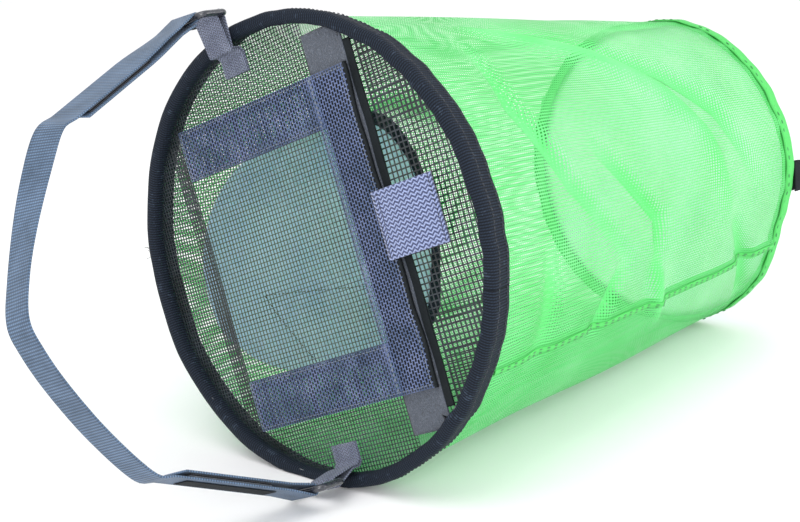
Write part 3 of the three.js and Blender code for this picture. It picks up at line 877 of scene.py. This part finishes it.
def rim_wobble(angle):
    """How far the rim stands back, and in or out, in mm: a dent, a swelling and small puckers."""
    dent = ridge(around(angle, math.radians(196)), 0, 0.16)
    swell = ridge(around(angle, math.radians(-8)), 0, 0.13)
    back = 0.7 * rim_waves(angle) + 0.35 * rim_puckers(angle)
    pucker = 0.5 * rim_puckers(angle) * 0.6
    return back, pucker - 1.5 * dent + 1.2 * swell + 0.5 * rim_waves(2 * angle)


def make_thread_ends():
    """Loose ends of thread where the rim's tape is joined."""
    rng = np.random.default_rng(21)
    join, root = math.radians(188), MOUTH_R + 2.4
    t = np.linspace(0, 1, 8)
    ends = []
    for _ in range(9):
        start = join + rng.uniform(-0.02, 0.02)
        a0 = rng.uniform(-1, 8)
        reach = rng.uniform(2, 5)
        swing = rng.uniform(-0.03, 0.03)
        ends.append(round_bag(root + reach * t, start + swing * t, a0 - 3 * t**2))
    sew("rim_thread_ends", ends, 1.0, 1.3, 0.4, dark_thread, "bag", "rim_tape")


# ---- mouth cover and door flap ----

COVER_A = 4.8
COVER_PITCH = 2.9
DOOR_PITCH = 3.4
CRESCENT_PITCH = 4.4
DOOR_EDGE, DOOR_HALF = 84.0, 116.0
LOOP_FROM = DOOR_EDGE - 36
BAND_WIDTH = 38.0
BRICK_CELL, BRICK_ROW = 3.9, 2.5


def cover_sag(u, w):
    """How far the cover's cloth stands back from its plane, in mm."""
    return 0.5 * np.sin(u / 31 + 0.6) * np.cos(w / 43) + 0.35 * np.sin((u + w) / 19)


def flap_rise(u, w):
    """How far the flap's cloth stands in front of its plane, in mm: slack between the bands."""
    inner = smooth_step(u, DOOR_FOLD, DOOR_FOLD + 30) * (1 - smooth_step(u, 32, 46))
    slack = 0.9 * np.sin(u / 37 + w / 51) + 0.6 * np.cos(w / 27 - u / 60)
    return inner * slack * (1 - smooth_step(np.abs(w), 80, 100))


def edge_wave(w):
    return 1.6 * np.sin(w / 17 + 0.7) + 0.9 * np.sin(w / 7.5)


def net_region(name, u_range, w_range, pitch, inside, settle, surface):
    """A square net over the cells whose middle is inside; settle brings stray corners back."""
    nu = max(round((u_range[1] - u_range[0]) / pitch), 1)
    nw = max(round((w_range[1] - w_range[0]) / pitch), 1)
    u = np.linspace(*u_range, nu + 1)
    w = np.linspace(*w_range, nw + 1)
    cu, cw = np.meshgrid((u[1:] + u[:-1]) / 2, (w[1:] + w[:-1]) / 2, indexing="ij")
    keep = inside(cu, cw)
    gu, gw = np.meshgrid(u, w, indexing="ij")
    used = np.zeros(gu.shape, bool)
    for di in (0, 1):
        for dj in (0, 1):
            used[di : di + nu, dj : dj + nw] |= keep
    index = -np.ones(gu.shape, int)
    index[used] = np.arange(used.sum())
    pu, pw = settle(gu[used], gw[used])
    i, j = np.nonzero(keep)
    faces = np.stack([index[i, j], index[i, j + 1], index[i + 1, j + 1], index[i + 1, j]], 1)
    points = in_lid(pu, surface(pu, pw), pw)
    return mesh_object(name, points, faces.tolist(), np.stack([pu, pw], 1))


def whole_region(u, _):
    return np.ones(u.shape, bool)


def level(a):
    """The surface of a flat net at a."""
    return lambda u, _: a + 0 * u


def stay_put(u, w):
    return u, w


def pull_in(limit):
    def settle(u, w):
        radius = np.hypot(u, w)
        scale = np.where(radius > limit, limit / np.maximum(radius, 1e-6), 1.0)
        return u * scale, w * scale
    return settle


def make_cover():
    """The C of net that fills the mouth round the door, and the doubled crescent beside it."""
    edge = RIM_IN + 1.0

    def cover_net(name, u_range, w_range, pitch, inside, lift=0.0):
        in_rim = lambda u, w: (np.hypot(u, w) < edge - 0.5) & inside(u, w)
        surface = lambda u, w: COVER_A + lift + cover_sag(u, w)
        return net_region(name, u_range, w_range, pitch, in_rim, pull_in(edge), surface)

    def beside_door(u, w):
        return (u < LOOP_FROM) & ~((u > DOOR_FOLD) & (np.abs(w) < DOOR_HALF - 6))

    def doubled(u, w):
        return (u > DOOR_EDGE + 10) & (np.abs(w) > 66)

    whole = (-165, 165)
    cover = cover_net("cover_net", (-165, LOOP_FROM + 1), whole, COVER_PITCH, beside_door)
    place_net(cover, 0.76, 0.4, "bag", "black_mesh", "mouth_panel")
    crescent = cover_net("crescent_net", (LOOP_FROM, 165), whole, CRESCENT_PITCH,
                         lambda u, w: u > DOOR_EDGE + 2)
    place_net(crescent, 0.77, 0.4, "bag", "black_mesh", "crescent_panel")
    corners = cover_net("crescent_corner_net", (DOOR_EDGE + 6, 165), (-163, 167),
                        CRESCENT_PITCH * 0.93, doubled, lift=2.4)
    place_net(corners, 0.77, 0.35, "bag", "black_mesh")


def place_net(sheet, hole_share, thickness, body, slot, *nodes):
    place(thick(net(sheet, hole_share, black_net), thickness), black_net, body, slot, *nodes)


def lid_strip(name, edges, reach, a_mid, thickness, material, body, slot, *nodes, limit=None):
    """A flat strip of the lid, its long way along w: edges(w) gives the u of its two edges."""
    w = np.linspace(-reach, reach, int(reach) + 1)
    low, high = edges(w)
    share = np.concatenate([[0, 0.015], np.linspace(0.08, 0.92, 7), [0.985, 1]])
    u = low[:, None] + (high - low)[:, None] * share[None, :]
    w2 = np.broadcast_to(w[:, None], u.shape)
    if limit is not None:
        u, w2 = pull_in(limit)(u, w2)
    uv = np.stack([u - low[:, None], w2], -1)
    strip = thick(grid_object(name, in_lid(u, a_mid, w2), uv, flip=True), thickness)
    return place(strip, material, body, slot, *nodes)


def make_cover_tapes():
    """The felt strip and the black tape beside the door's closing edge, and its folding edge. The
    black tape is partly a bound edge and partly painted shadow for the dark gap beside the closing
    band.
    """
    reach = lambda u: math.sqrt(RIM_IN**2 - u**2) - 1.0
    wavy = lambda w: 0.4 * np.sin(w / 9)
    in_rim = RIM_IN + 0.6
    lid_strip("closing_felt", lambda w: (LOOP_FROM + 0.5 + 0 * w, DOOR_EDGE + 1.8 + wavy(w)),
              reach(76) + 3, 3.3, 1.3, loop_felt, "bag", "loop_felt", "loop_strip", limit=in_rim)
    # Black tape along the crescent's straight edge: partly a bound edge, partly painted shadow for
    # the dark gap next to the closing band.
    lid_strip("crescent_edge", lambda w: (DOOR_EDGE + 2 + wavy(w), DOOR_EDGE + 8.5 + wavy(w)),
              reach(94), 3.4, 1.2, black_tape, "bag", "black_tape", "crescent_edge_tape",
              limit=in_rim)
    fold = net_region("fold_net", (DOOR_FOLD - 12, DOOR_FOLD - 0.4), (-108, 108), COVER_PITCH,
                      whole_region, stay_put, level(2.9))
    place_net(fold, 0.72, 0.5, "bag", "black_tape", "flap_hinge_tape")


def make_flap():
    """The door's net, its three bands, the hook tape behind them and its bound edge."""
    door = net_region("door_net", (DOOR_FOLD, DOOR_EDGE - 1), (1 - DOOR_HALF, DOOR_HALF - 1),
                      DOOR_PITCH, whole_region, stay_put, lambda u, w: 0.5 - flap_rise(u, w))
    place_net(door, 0.83, 0.4, "flap", "black_mesh", "flap_mesh")
    bar, arm = DOOR_EDGE - BAND_WIDTH, DOOR_HALF - BAND_WIDTH
    arm_u = (DOOR_FOLD + 5, bar + 6)
    brick_band("closing_band", (bar, DOOR_EDGE), (-DOOR_HALF, DOOR_HALF), True)
    brick_band("upper_band", arm_u, (arm, DOOR_HALF), False)
    brick_band("lower_band", arm_u, (-DOOR_HALF, -arm), False)

    def edges(low, high, waviness):
        return lambda w: (DOOR_EDGE + low + edge_wave(w) * waviness,
                          DOOR_EDGE + high + edge_wave(w) * waviness)

    lid_strip("door_hook_tape", edges(-32.5, -1.5, 0.3), 113, 1.85, 0.9, hook_tape, "flap",
              "black_tape", "hook_strip")
    lid_strip("door_edge_binding", edges(-0.6, 1.2, 0.5), DOOR_HALF + 0.5, -0.1, 2.6, black_tape,
              "flap", "black_tape")


def band_height(u, w, along_w):
    """The a of a band's cloth: it lies on the door's net, slightly quilted by its stitches."""
    start = DOOR_EDGE if along_w else DOOR_HALF
    share = ((u if along_w else np.abs(w)) - start + BAND_WIDTH) / BAND_WIDTH
    across = np.sin(math.pi * np.clip(share, 0, 1))
    if along_w:
        return -0.95 - 0.5 * np.sin(w / 13 + 0.4) ** 2 * across
    return -0.85 - 0.45 * np.sin(u / 15 + 1.1) ** 2 * across


def brick_band(name, u_range, w_range, along_w):
    """A band of coarse net with staggered holes, long along w, with rows of stitches; its arms
    lie over dark net."""
    rows = round((u_range[1] - u_range[0]) / BRICK_ROW)
    half_steps = 2 * round((w_range[1] - w_range[0]) / BRICK_CELL) + 1
    u, w = np.meshgrid(np.linspace(*u_range, rows + 1), np.linspace(*w_range, half_steps),
                       indexing="ij")
    u, w = u.ravel(), w.ravel()
    faces = []
    for i in range(rows):
        low, high = i * half_steps, (i + 1) * half_steps
        for k in range(-(i % 2), half_steps - 1, 2):
            steps = [s for s in (k, k + 1, k + 2) if 0 <= s < half_steps]
            faces.append([high + s for s in steps] + [low + s for s in steps[::-1]])
    if along_w:
        u = u + edge_wave(w) * 0.5 * (u - u_range[0]) / (u_range[1] - u_range[0])
    points = in_lid(u, band_height(u, w, along_w), w)
    sheet = net(mesh_object(name, points, faces, np.stack([u, w], 1)), 0.78, grey_net)
    place(thick(sheet, 0.4), grey_net, "flap", "grey_mesh_band", "flap_" + name)
    if not along_w:
        backing = net_region(name + "_backing", u_range, w_range, 1.9, whole_region, stay_put,
                             level(-0.25))
        place(net(backing, 0.32, black_net), black_net, "flap", "black_mesh")
    lines = []
    (low_u, high_u), (low_w, high_w) = ((low + 2.4, high - 2.4) for low, high in (u_range, w_range))
    corners = [(low_u, low_w), (high_u, low_w), (high_u, high_w), (low_u, high_w), (low_u, low_w)]
    for (u0, w0), (u1, w1) in zip(corners, corners[1:]):
        u, w = np.linspace(u0, u1, 120), np.linspace(w0, w1, 120)
        lines.append(in_lid(u, band_height(u, w, along_w) - 0.35, w))
    sew(name + "_stitches", lines, 3.6, 2.6, 0.7, grey_thread, "flap", "grey_mesh_band")


def make_tab():
    """The pull tab: folded chevron webbing, sewn to the closing band."""
    path = [(78, -2.6), (86, -2.9), (99, -3.6), (114, -3.4), (127, -2.7), (135.6, -2.4)]
    tab = tape_ribbon("chevron_tab", smooth_line(path, 60), 2.0, 49, in_lid)
    place(tab, chevron_tape, "tab", "chevron_tape", "pull_tab")
    rows = []
    for u, a, half in ((80, -3.85, 23), (83.5, -3.85, 23), (133.2, -3.65, 23.5)):
        rows.append(in_lid(np.full(40, u), a, np.linspace(-half, half, 40)))
    sew("tab_stitches", rows, 3.2, 2.4, 0.7, dark_thread, "tab", "chevron_tape")


# ---- pale panel on the far wall ----

PANEL_CENTRE, PANEL_HALF_LENGTH, PANEL_HALF_WIDTH = 168.0, 124.0, 108.0
PANEL_ANGLE = math.radians(195)
PANEL_SEAM = [(-77.0, 33.0), (64.0, 51.0), (-60.0, 98.0)]  # a corner and its two ends


def far_wall(along, across, lift):
    """A point inside the far wall: along the bag from the panel's middle, across, and off it."""
    a = PANEL_CENTRE + along
    angle = PANEL_ANGLE + np.arcsin(np.clip(across / wall_radius(a), -0.98, 0.98))
    return round_bag(wall_radius(a) - 1.5 - lift + wall_slack(angle, a), angle, a)


def panel_creases(p, q):
    """How far the panel's cloth stands off the wall, in mm: one long crease and soft waves."""
    crease = ridge((q + 0.5 * p) / 9, np.sin(p / 30), 0.8)
    return 1.0 + 1.4 * crease + 0.8 * np.sin(q / 16 + p / 40) ** 2


def make_far_panel():
    """The pale cloth inside the far wall, pulled out at one corner."""
    share = np.linspace(0, 1, 27)[1:]
    angle = np.linspace(0, 2 * math.pi, 160, endpoint=False)
    s, t = np.meshgrid(share, angle, indexing="ij")
    pulled = s * ridge(around(t, math.radians(140)), 0, 0.5)
    along = s * (PANEL_HALF_LENGTH - 2) * np.cos(t) * (1 + 0.2 * pulled)
    across = s * (PANEL_HALF_WIDTH - 1) * np.sin(t) * (1 + 0.14 * pulled)
    points = far_wall(along, across, panel_creases(along, across))
    middle = np.zeros(1)
    centre = far_wall(middle, middle, panel_creases(middle, middle))
    panel = thick(disc("far_wall_cloth", centre, points, along, across), 0.7)
    # Its finish is the pale cloth with painted shade, darker and bluer than the base's.
    place(panel, shaded_pale_cloth, "bag", "pale_cloth", "far_wall_panel")
    make_far_edge()
    corner, *ends = PANEL_SEAM
    rows = [far_wall(*np.linspace(corner, end, 60).T, 3.2) for end in ends]
    sew("far_wall_stitches", rows, 4.0, 2.6, 0.9, dark_thread, "bag", "pale_cloth")


def make_far_edge():
    """The dark rounded tape along the panel's edge on the base's side."""
    t = np.linspace(-1.75, 1.75, 160)
    off = np.linspace(-4.5, 4.5, 7)
    along = (PANEL_HALF_LENGTH - 4.5 + off[None, :]) * np.cos(t)[:, None]
    across = (PANEL_HALF_WIDTH - 4.5 + off[None, :]) * np.sin(t)[:, None]
    bead = 2.6 + 0.9 * np.sqrt(np.clip(1 - (off / 4.6) ** 2, 0, 1))
    points = far_wall(along, across, bead[None, :] + 0.25 * np.sin(t * 160)[:, None])
    uv = flat_uv(off[None, :], (t * 118)[:, None])
    edge = thick(grid_object("far_wall_edge", points, uv), 1.2)
    place(edge, rim_tape, "bag", "rim_tape", "far_wall_binding")


# ---- handle ----

STRAP, WEBBING_WIDTH = 1.6, 25.0
RING_WIRE, RING_REACH = 5.0, 23.0
RING_HALF = (WEBBING_WIDTH + 2 * (RING_WIRE + 2.5)) / 2
WRAP_R = 3.67
LAP_OFFSET = 2.25
PATCH = (1.0, 22)  # thickness and width of a hook or loop patch
ENDS = {  # sign of w, the ring's w, its bar's h, the lap's lean, its length and its twist
    "upper": (1, 182.0, 9.0, math.radians(24.4), 132.0, math.radians(-18)),
    "lower": (-1, 162.0, 25.0, math.radians(19.7), 112.0, 0.0),
}
CROWN = [(197.0, 91.0), (217.0, 58.0), (233.0, 26.0), (242.0, 0.0), (238.0, -20.0),
         (226.0, -48.0), (205.0, -84.0)]


def at_end(side, s, t):
    """A point (h, w) of a handle end: s from the ring's bow to the crown, t outwards."""
    sign, ring_w, bar_h = ENDS[side][:3]
    along, out = end_directions(side)
    h, w = bar_h + RING_REACH, sign * ring_w
    return (h + along[0] * s + out[0] * t, w + along[1] * s + out[1] * t)


def end_directions(side):
    sign, _, _, lean = ENDS[side][:4]
    along = (math.cos(lean), -sign * math.sin(lean))
    return along, (-sign * along[1], sign * along[0])


def on_handle(h, w, s):
    return in_lid(HANDLE_U + s, -h, w)


def handle_twist(path):
    """The webbing's turn about its own length, which grows away from the upper ring."""
    w = path[:, 1]
    return ENDS["upper"][5] * smooth_step(w, 20, 110) * (1 - 0.7 * smooth_step(w, 155, 176))


def wrap_line(side):
    turn = np.linspace(0, math.pi, 15)
    line = [at_end(side, 1.8, -WRAP_R)]
    return line + [at_end(side, -WRAP_R * math.sin(v), -WRAP_R * math.cos(v)) for v in turn]


def strap_line():
    """The strap's middle: round the upper ring's bow, over the crown and round the lower one's."""

    def straight(side, past):
        return [at_end(side, ENDS[side][4] + s, LAP_OFFSET) for s in past]

    crown = straight("upper", (-10, 8, 26)) + CROWN + straight("lower", (26, 8, -10))
    free = [tuple(p) for p in smooth_line(crown, 90)]
    upper, lower = (wrap_line(side) + [at_end(side, 20, LAP_OFFSET)] for side in ENDS)
    return upper + free + lower[::-1]


def make_strap():
    strap = handle_tape("handle_webbing", strap_line())
    place(strap, webbing, "handle", "webbing", "handle_strap")
    for side in ENDS:
        make_lap(side)
        make_ring(side)
        make_keeper(side)
    make_label()


def handle_tape(name, line, thickness=STRAP, width=WEBBING_WIDTH):
    return tape_ribbon(name, line, thickness, width, on_handle, 1.0, handle_twist)


def end_line(side, s0, s1, t):
    return [at_end(side, s, t) for s in np.linspace(s0, s1, 40)]


def make_lap(side):
    """The folded-back end of the webbing, with its hook patch, and the loop patch on the strap."""
    length = ENDS[side][4]
    body = side + "_lap"
    ease = [at_end(side, 4.0, -WRAP_R + 0.1), at_end(side, 20, -LAP_OFFSET)]
    lap = handle_tape(body + "_webbing", ease + end_line(side, 24, length, -LAP_OFFSET))
    place(lap, webbing, body, "webbing", body)
    end = length - 4
    hook = handle_tape(side + "_hook_patch", end_line(side, end - 70, end, -0.75), *PATCH)
    place(hook, hook_tape, body, "black_tape", body + "_hook")
    loop = handle_tape(side + "_loop_patch", end_line(side, end - 70, end, 0.72), *PATCH)
    place(loop, loop_felt, "handle", "loop_felt", side + "_strap_loop")
    outer = -LAP_OFFSET - 1.0
    near, far, half = end - 68, end - 2, 9.5
    rows = [twisted_line(side, np.linspace(near, far, 60), v, outer) for v in (-half, half)]
    for s in (near, far):
        points = [twisted_line(side, [s], v, outer) for v in np.linspace(-half, half, 12)]
        rows.append(np.concatenate(points))
    sew(body + "_stitches", rows, 3.2, 2.4, 0.7, dark_thread, body, "webbing")


def twisted_line(side, s, across, t):
    """Points on a twisted handle end, across its width and off its middle."""
    middle = math.copysign(LAP_OFFSET, t)
    base = np.array([at_end(side, v, middle) for v in s])
    turn = handle_twist(base)
    forward = np.array(end_directions(side)[0])
    normal = np.array([-forward[1], forward[0]])
    out = np.dot(np.array(at_end(side, 0, t)) - np.array(at_end(side, 0, middle)), normal)
    shift = across * np.cos(turn) - out * np.sin(turn)
    rise = across * np.sin(turn) + out * np.cos(turn)
    points = base + normal[None, :] * rise[:, None]
    return on_handle(points[:, 0], points[:, 1], shift)


def ring_path(count=160):
    """The middle of the D's wire, as u offset and h: tight corners at the bar, wide at the bow."""
    half, tight, wide = RING_HALF - RING_WIRE / 2, 3.6, 5.5
    quarter = math.pi / 2
    corners = [(tight - half, tight, tight, 2), (half - tight, tight, tight, 3),
               (half - wide, RING_REACH - wide, wide, 0), (wide - half, RING_REACH - wide, wide, 1)]
    line = []
    for x, y, r, k in corners:
        turn = np.linspace(k * quarter, (k + 1) * quarter, 10)
        line += [(x + r * math.cos(v), y + r * math.sin(v)) for v in turn]
    return even_line(np.array(line + line[:1]), count + 1)[:-1]


def make_ring(side):
    sign, ring_w, bar_h = ENDS[side][:3]
    path = ring_path()
    forward = np.roll(path, -1, 0) - np.roll(path, 1, 0)
    forward /= np.linalg.norm(forward, axis=1)[:, None]
    normal = np.stack([-forward[:, 1], forward[:, 0]], 1)
    turn = np.linspace(0, 2 * math.pi, 20, endpoint=False)
    radius = RING_WIRE / 2
    u = path[:, None, 0] + normal[:, None, 0] * radius * np.cos(turn)
    h = bar_h + path[:, None, 1] + normal[:, None, 1] * radius * np.cos(turn)
    w = sign * ring_w + radius * np.sin(turn)[None, :] + 0 * u
    points = in_lid(HANDLE_U + u, -h, w)
    ring = grid_object(side + "_ring", points, close_rows=True, close_columns=True)
    outward(ring)
    place(ring, ring_lacquer, "handle", "ring_lacquer", side + "_d_ring")


def keeper_line(side):
    """The middle of the keeper's folded webbing: a tail, round the bar, and the second tail."""
    sign, ring_w, bar_h = ENDS[side][:3]
    cloth, gap, ply = 1.3, 0.3, 1.6
    turn_r = (RING_WIRE / 2 + gap + cloth / 2) / math.cos(0.7 * math.pi / 8)
    corner = abs(HANDLE_U) + WEBBING_WIDTH / 2
    inside = math.sqrt(RIM_IN**2 - corner**2) - 2 * gap - cloth / 2 - 0.4
    tail, over = -4.3 + gap + cloth / 2, 4 + 3 * gap + cloth

    def leg(k):
        h, w = tail + k * ply, inside - k * ply
        return [(h, inside - 18), (h, w - 3), (h + 3, w), (over + k * ply, w)]

    def meets(point, sense):
        dh, dw = point[0] - bar_h, point[1] - ring_w
        return math.atan2(dh, dw) + sense * math.acos(turn_r / math.hypot(dw, dh))

    first, last = meets(leg(0)[-1], 1), meets(leg(1)[-1], -1) + 2 * math.pi
    turn = [(bar_h + turn_r * math.sin(v), ring_w + turn_r * math.cos(v))
            for v in np.linspace(first, last, 22)]
    return [(h, sign * w) for h, w in leg(0) + turn + leg(1)[::-1]]


def make_keeper(side):
    """The loop of webbing that holds a ring: sewn to the rim, it goes round the ring's bar."""
    sign, ring_w, bar_h = ENDS[side][:3]
    line = keeper_line(side)
    keeper = tape_ribbon(side + "_keeper_webbing", line, 1.25, WEBBING_WIDTH, on_handle, 0.8)
    keeper.data.materials.append(keeper_webbing)
    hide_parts(side + "_keeper")
    start = in_lid(HANDLE_U, -6.0, sign * 158.0)
    end = in_lid(HANDLE_U, -bar_h, sign * ring_w)
    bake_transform(keeper)
    tail = line[0][1]
    w = np.linspace(tail + sign * 2, tail + sign * 13, 12)
    rows = [on_handle(np.full(12, -0.9), w, across) for across in (-10, -5, 0, 5, 10)]
    across = np.linspace(-10, 10, 12)
    rows += [on_handle(-0.9, tail + sign * shift, across) for shift in (2, 13)]
    sew(side + "_keeper_stitches", rows, 2.6, 2.0, 0.7, grey_thread, "bag", "webbing")


def make_label():
    """A blank woven label, sewn to the outer face of the strap at its lower end."""
    middle = ENDS["lower"][4] * 0.62
    line = end_line("lower", middle - 39, middle + 39, LAP_OFFSET + 1.4)
    label = handle_tape("lap_blank_label", line, 0.6, 14.5)
    place(label, black_tape, "handle", "black_tape", "lap_label")


# ---- camera, light and floor ----


def make_camera():
    right = Vector((0.7431, 0.6659, -0.0653))
    up = Vector((-0.1425, 0.2529, 0.9568))
    back = Vector((0.6537, -0.7017, 0.2829))
    data = bpy.data.cameras.new("camera")
    data.lens, data.sensor_width = 91.35, 36.0
    data.clip_start, data.clip_end = 0.05, 30
    camera = bpy.data.objects.new("camera", data)
    turn = Matrix((right, up, back)).transposed().to_4x4()
    turn.translation = Vector(MOUTH) + 0.065 * right - 0.0065 * up + 1.45 * back
    camera.matrix_world = turn
    bpy.context.scene.collection.objects.link(camera)
    bpy.context.scene.camera = camera


def area_light(name, at, aim, size, power):
    data = bpy.data.lights.new(name, "AREA")
    data.shape, data.size, data.size_y = "RECTANGLE", size, size
    data.energy = power
    light = bpy.data.objects.new(name, data)
    light.location = at
    light.rotation_euler = (Vector(aim) - Vector(at)).to_track_quat("-Z", "Y").to_euler()
    bpy.context.scene.collection.objects.link(light)


def make_light():
    """An even white studio with three large soft lamps."""
    world = bpy.data.worlds.new("studio")
    world.use_nodes = True
    sky = world.node_tree.nodes["Background"]
    sky.inputs["Color"].default_value = (1.0, 1.0, 1.0, 1)
    sky.inputs["Strength"].default_value = 1.0
    scene = bpy.context.scene
    scene.world = world
    area_light("key", (0.3, -0.9, 2.1), (0, -0.05, 0.15), 1.4, 16)
    area_light("side", (1.7, 0.9, 0.9), (0, 0.1, 0.15), 1.2, 14)
    area_light("front", (1.35, -1.75, 0.95), (0, -0.1, 0.15), 0.9, 17)
    scene.view_settings.view_transform = "Standard"
    scene.view_settings.look = "None"


def make_floor():
    size, below = 6.0, -0.0002
    corners = [(x * size, y * size, below) for x, y in ((-1, -1), (1, -1), (1, 1), (-1, 1))]
    floor = mesh_object("studio_floor", corners, [[0, 1, 2, 3]], smooth=False)
    floor.data.materials.append(floor_finish())


make_camera()
make_light()
make_floor()
make_wall()
make_seam()
make_base_panel()
make_hem()
make_base_loop()
make_rim()
make_cover()
make_cover_tapes()
make_flap()
make_tab()
make_far_panel()
make_strap()
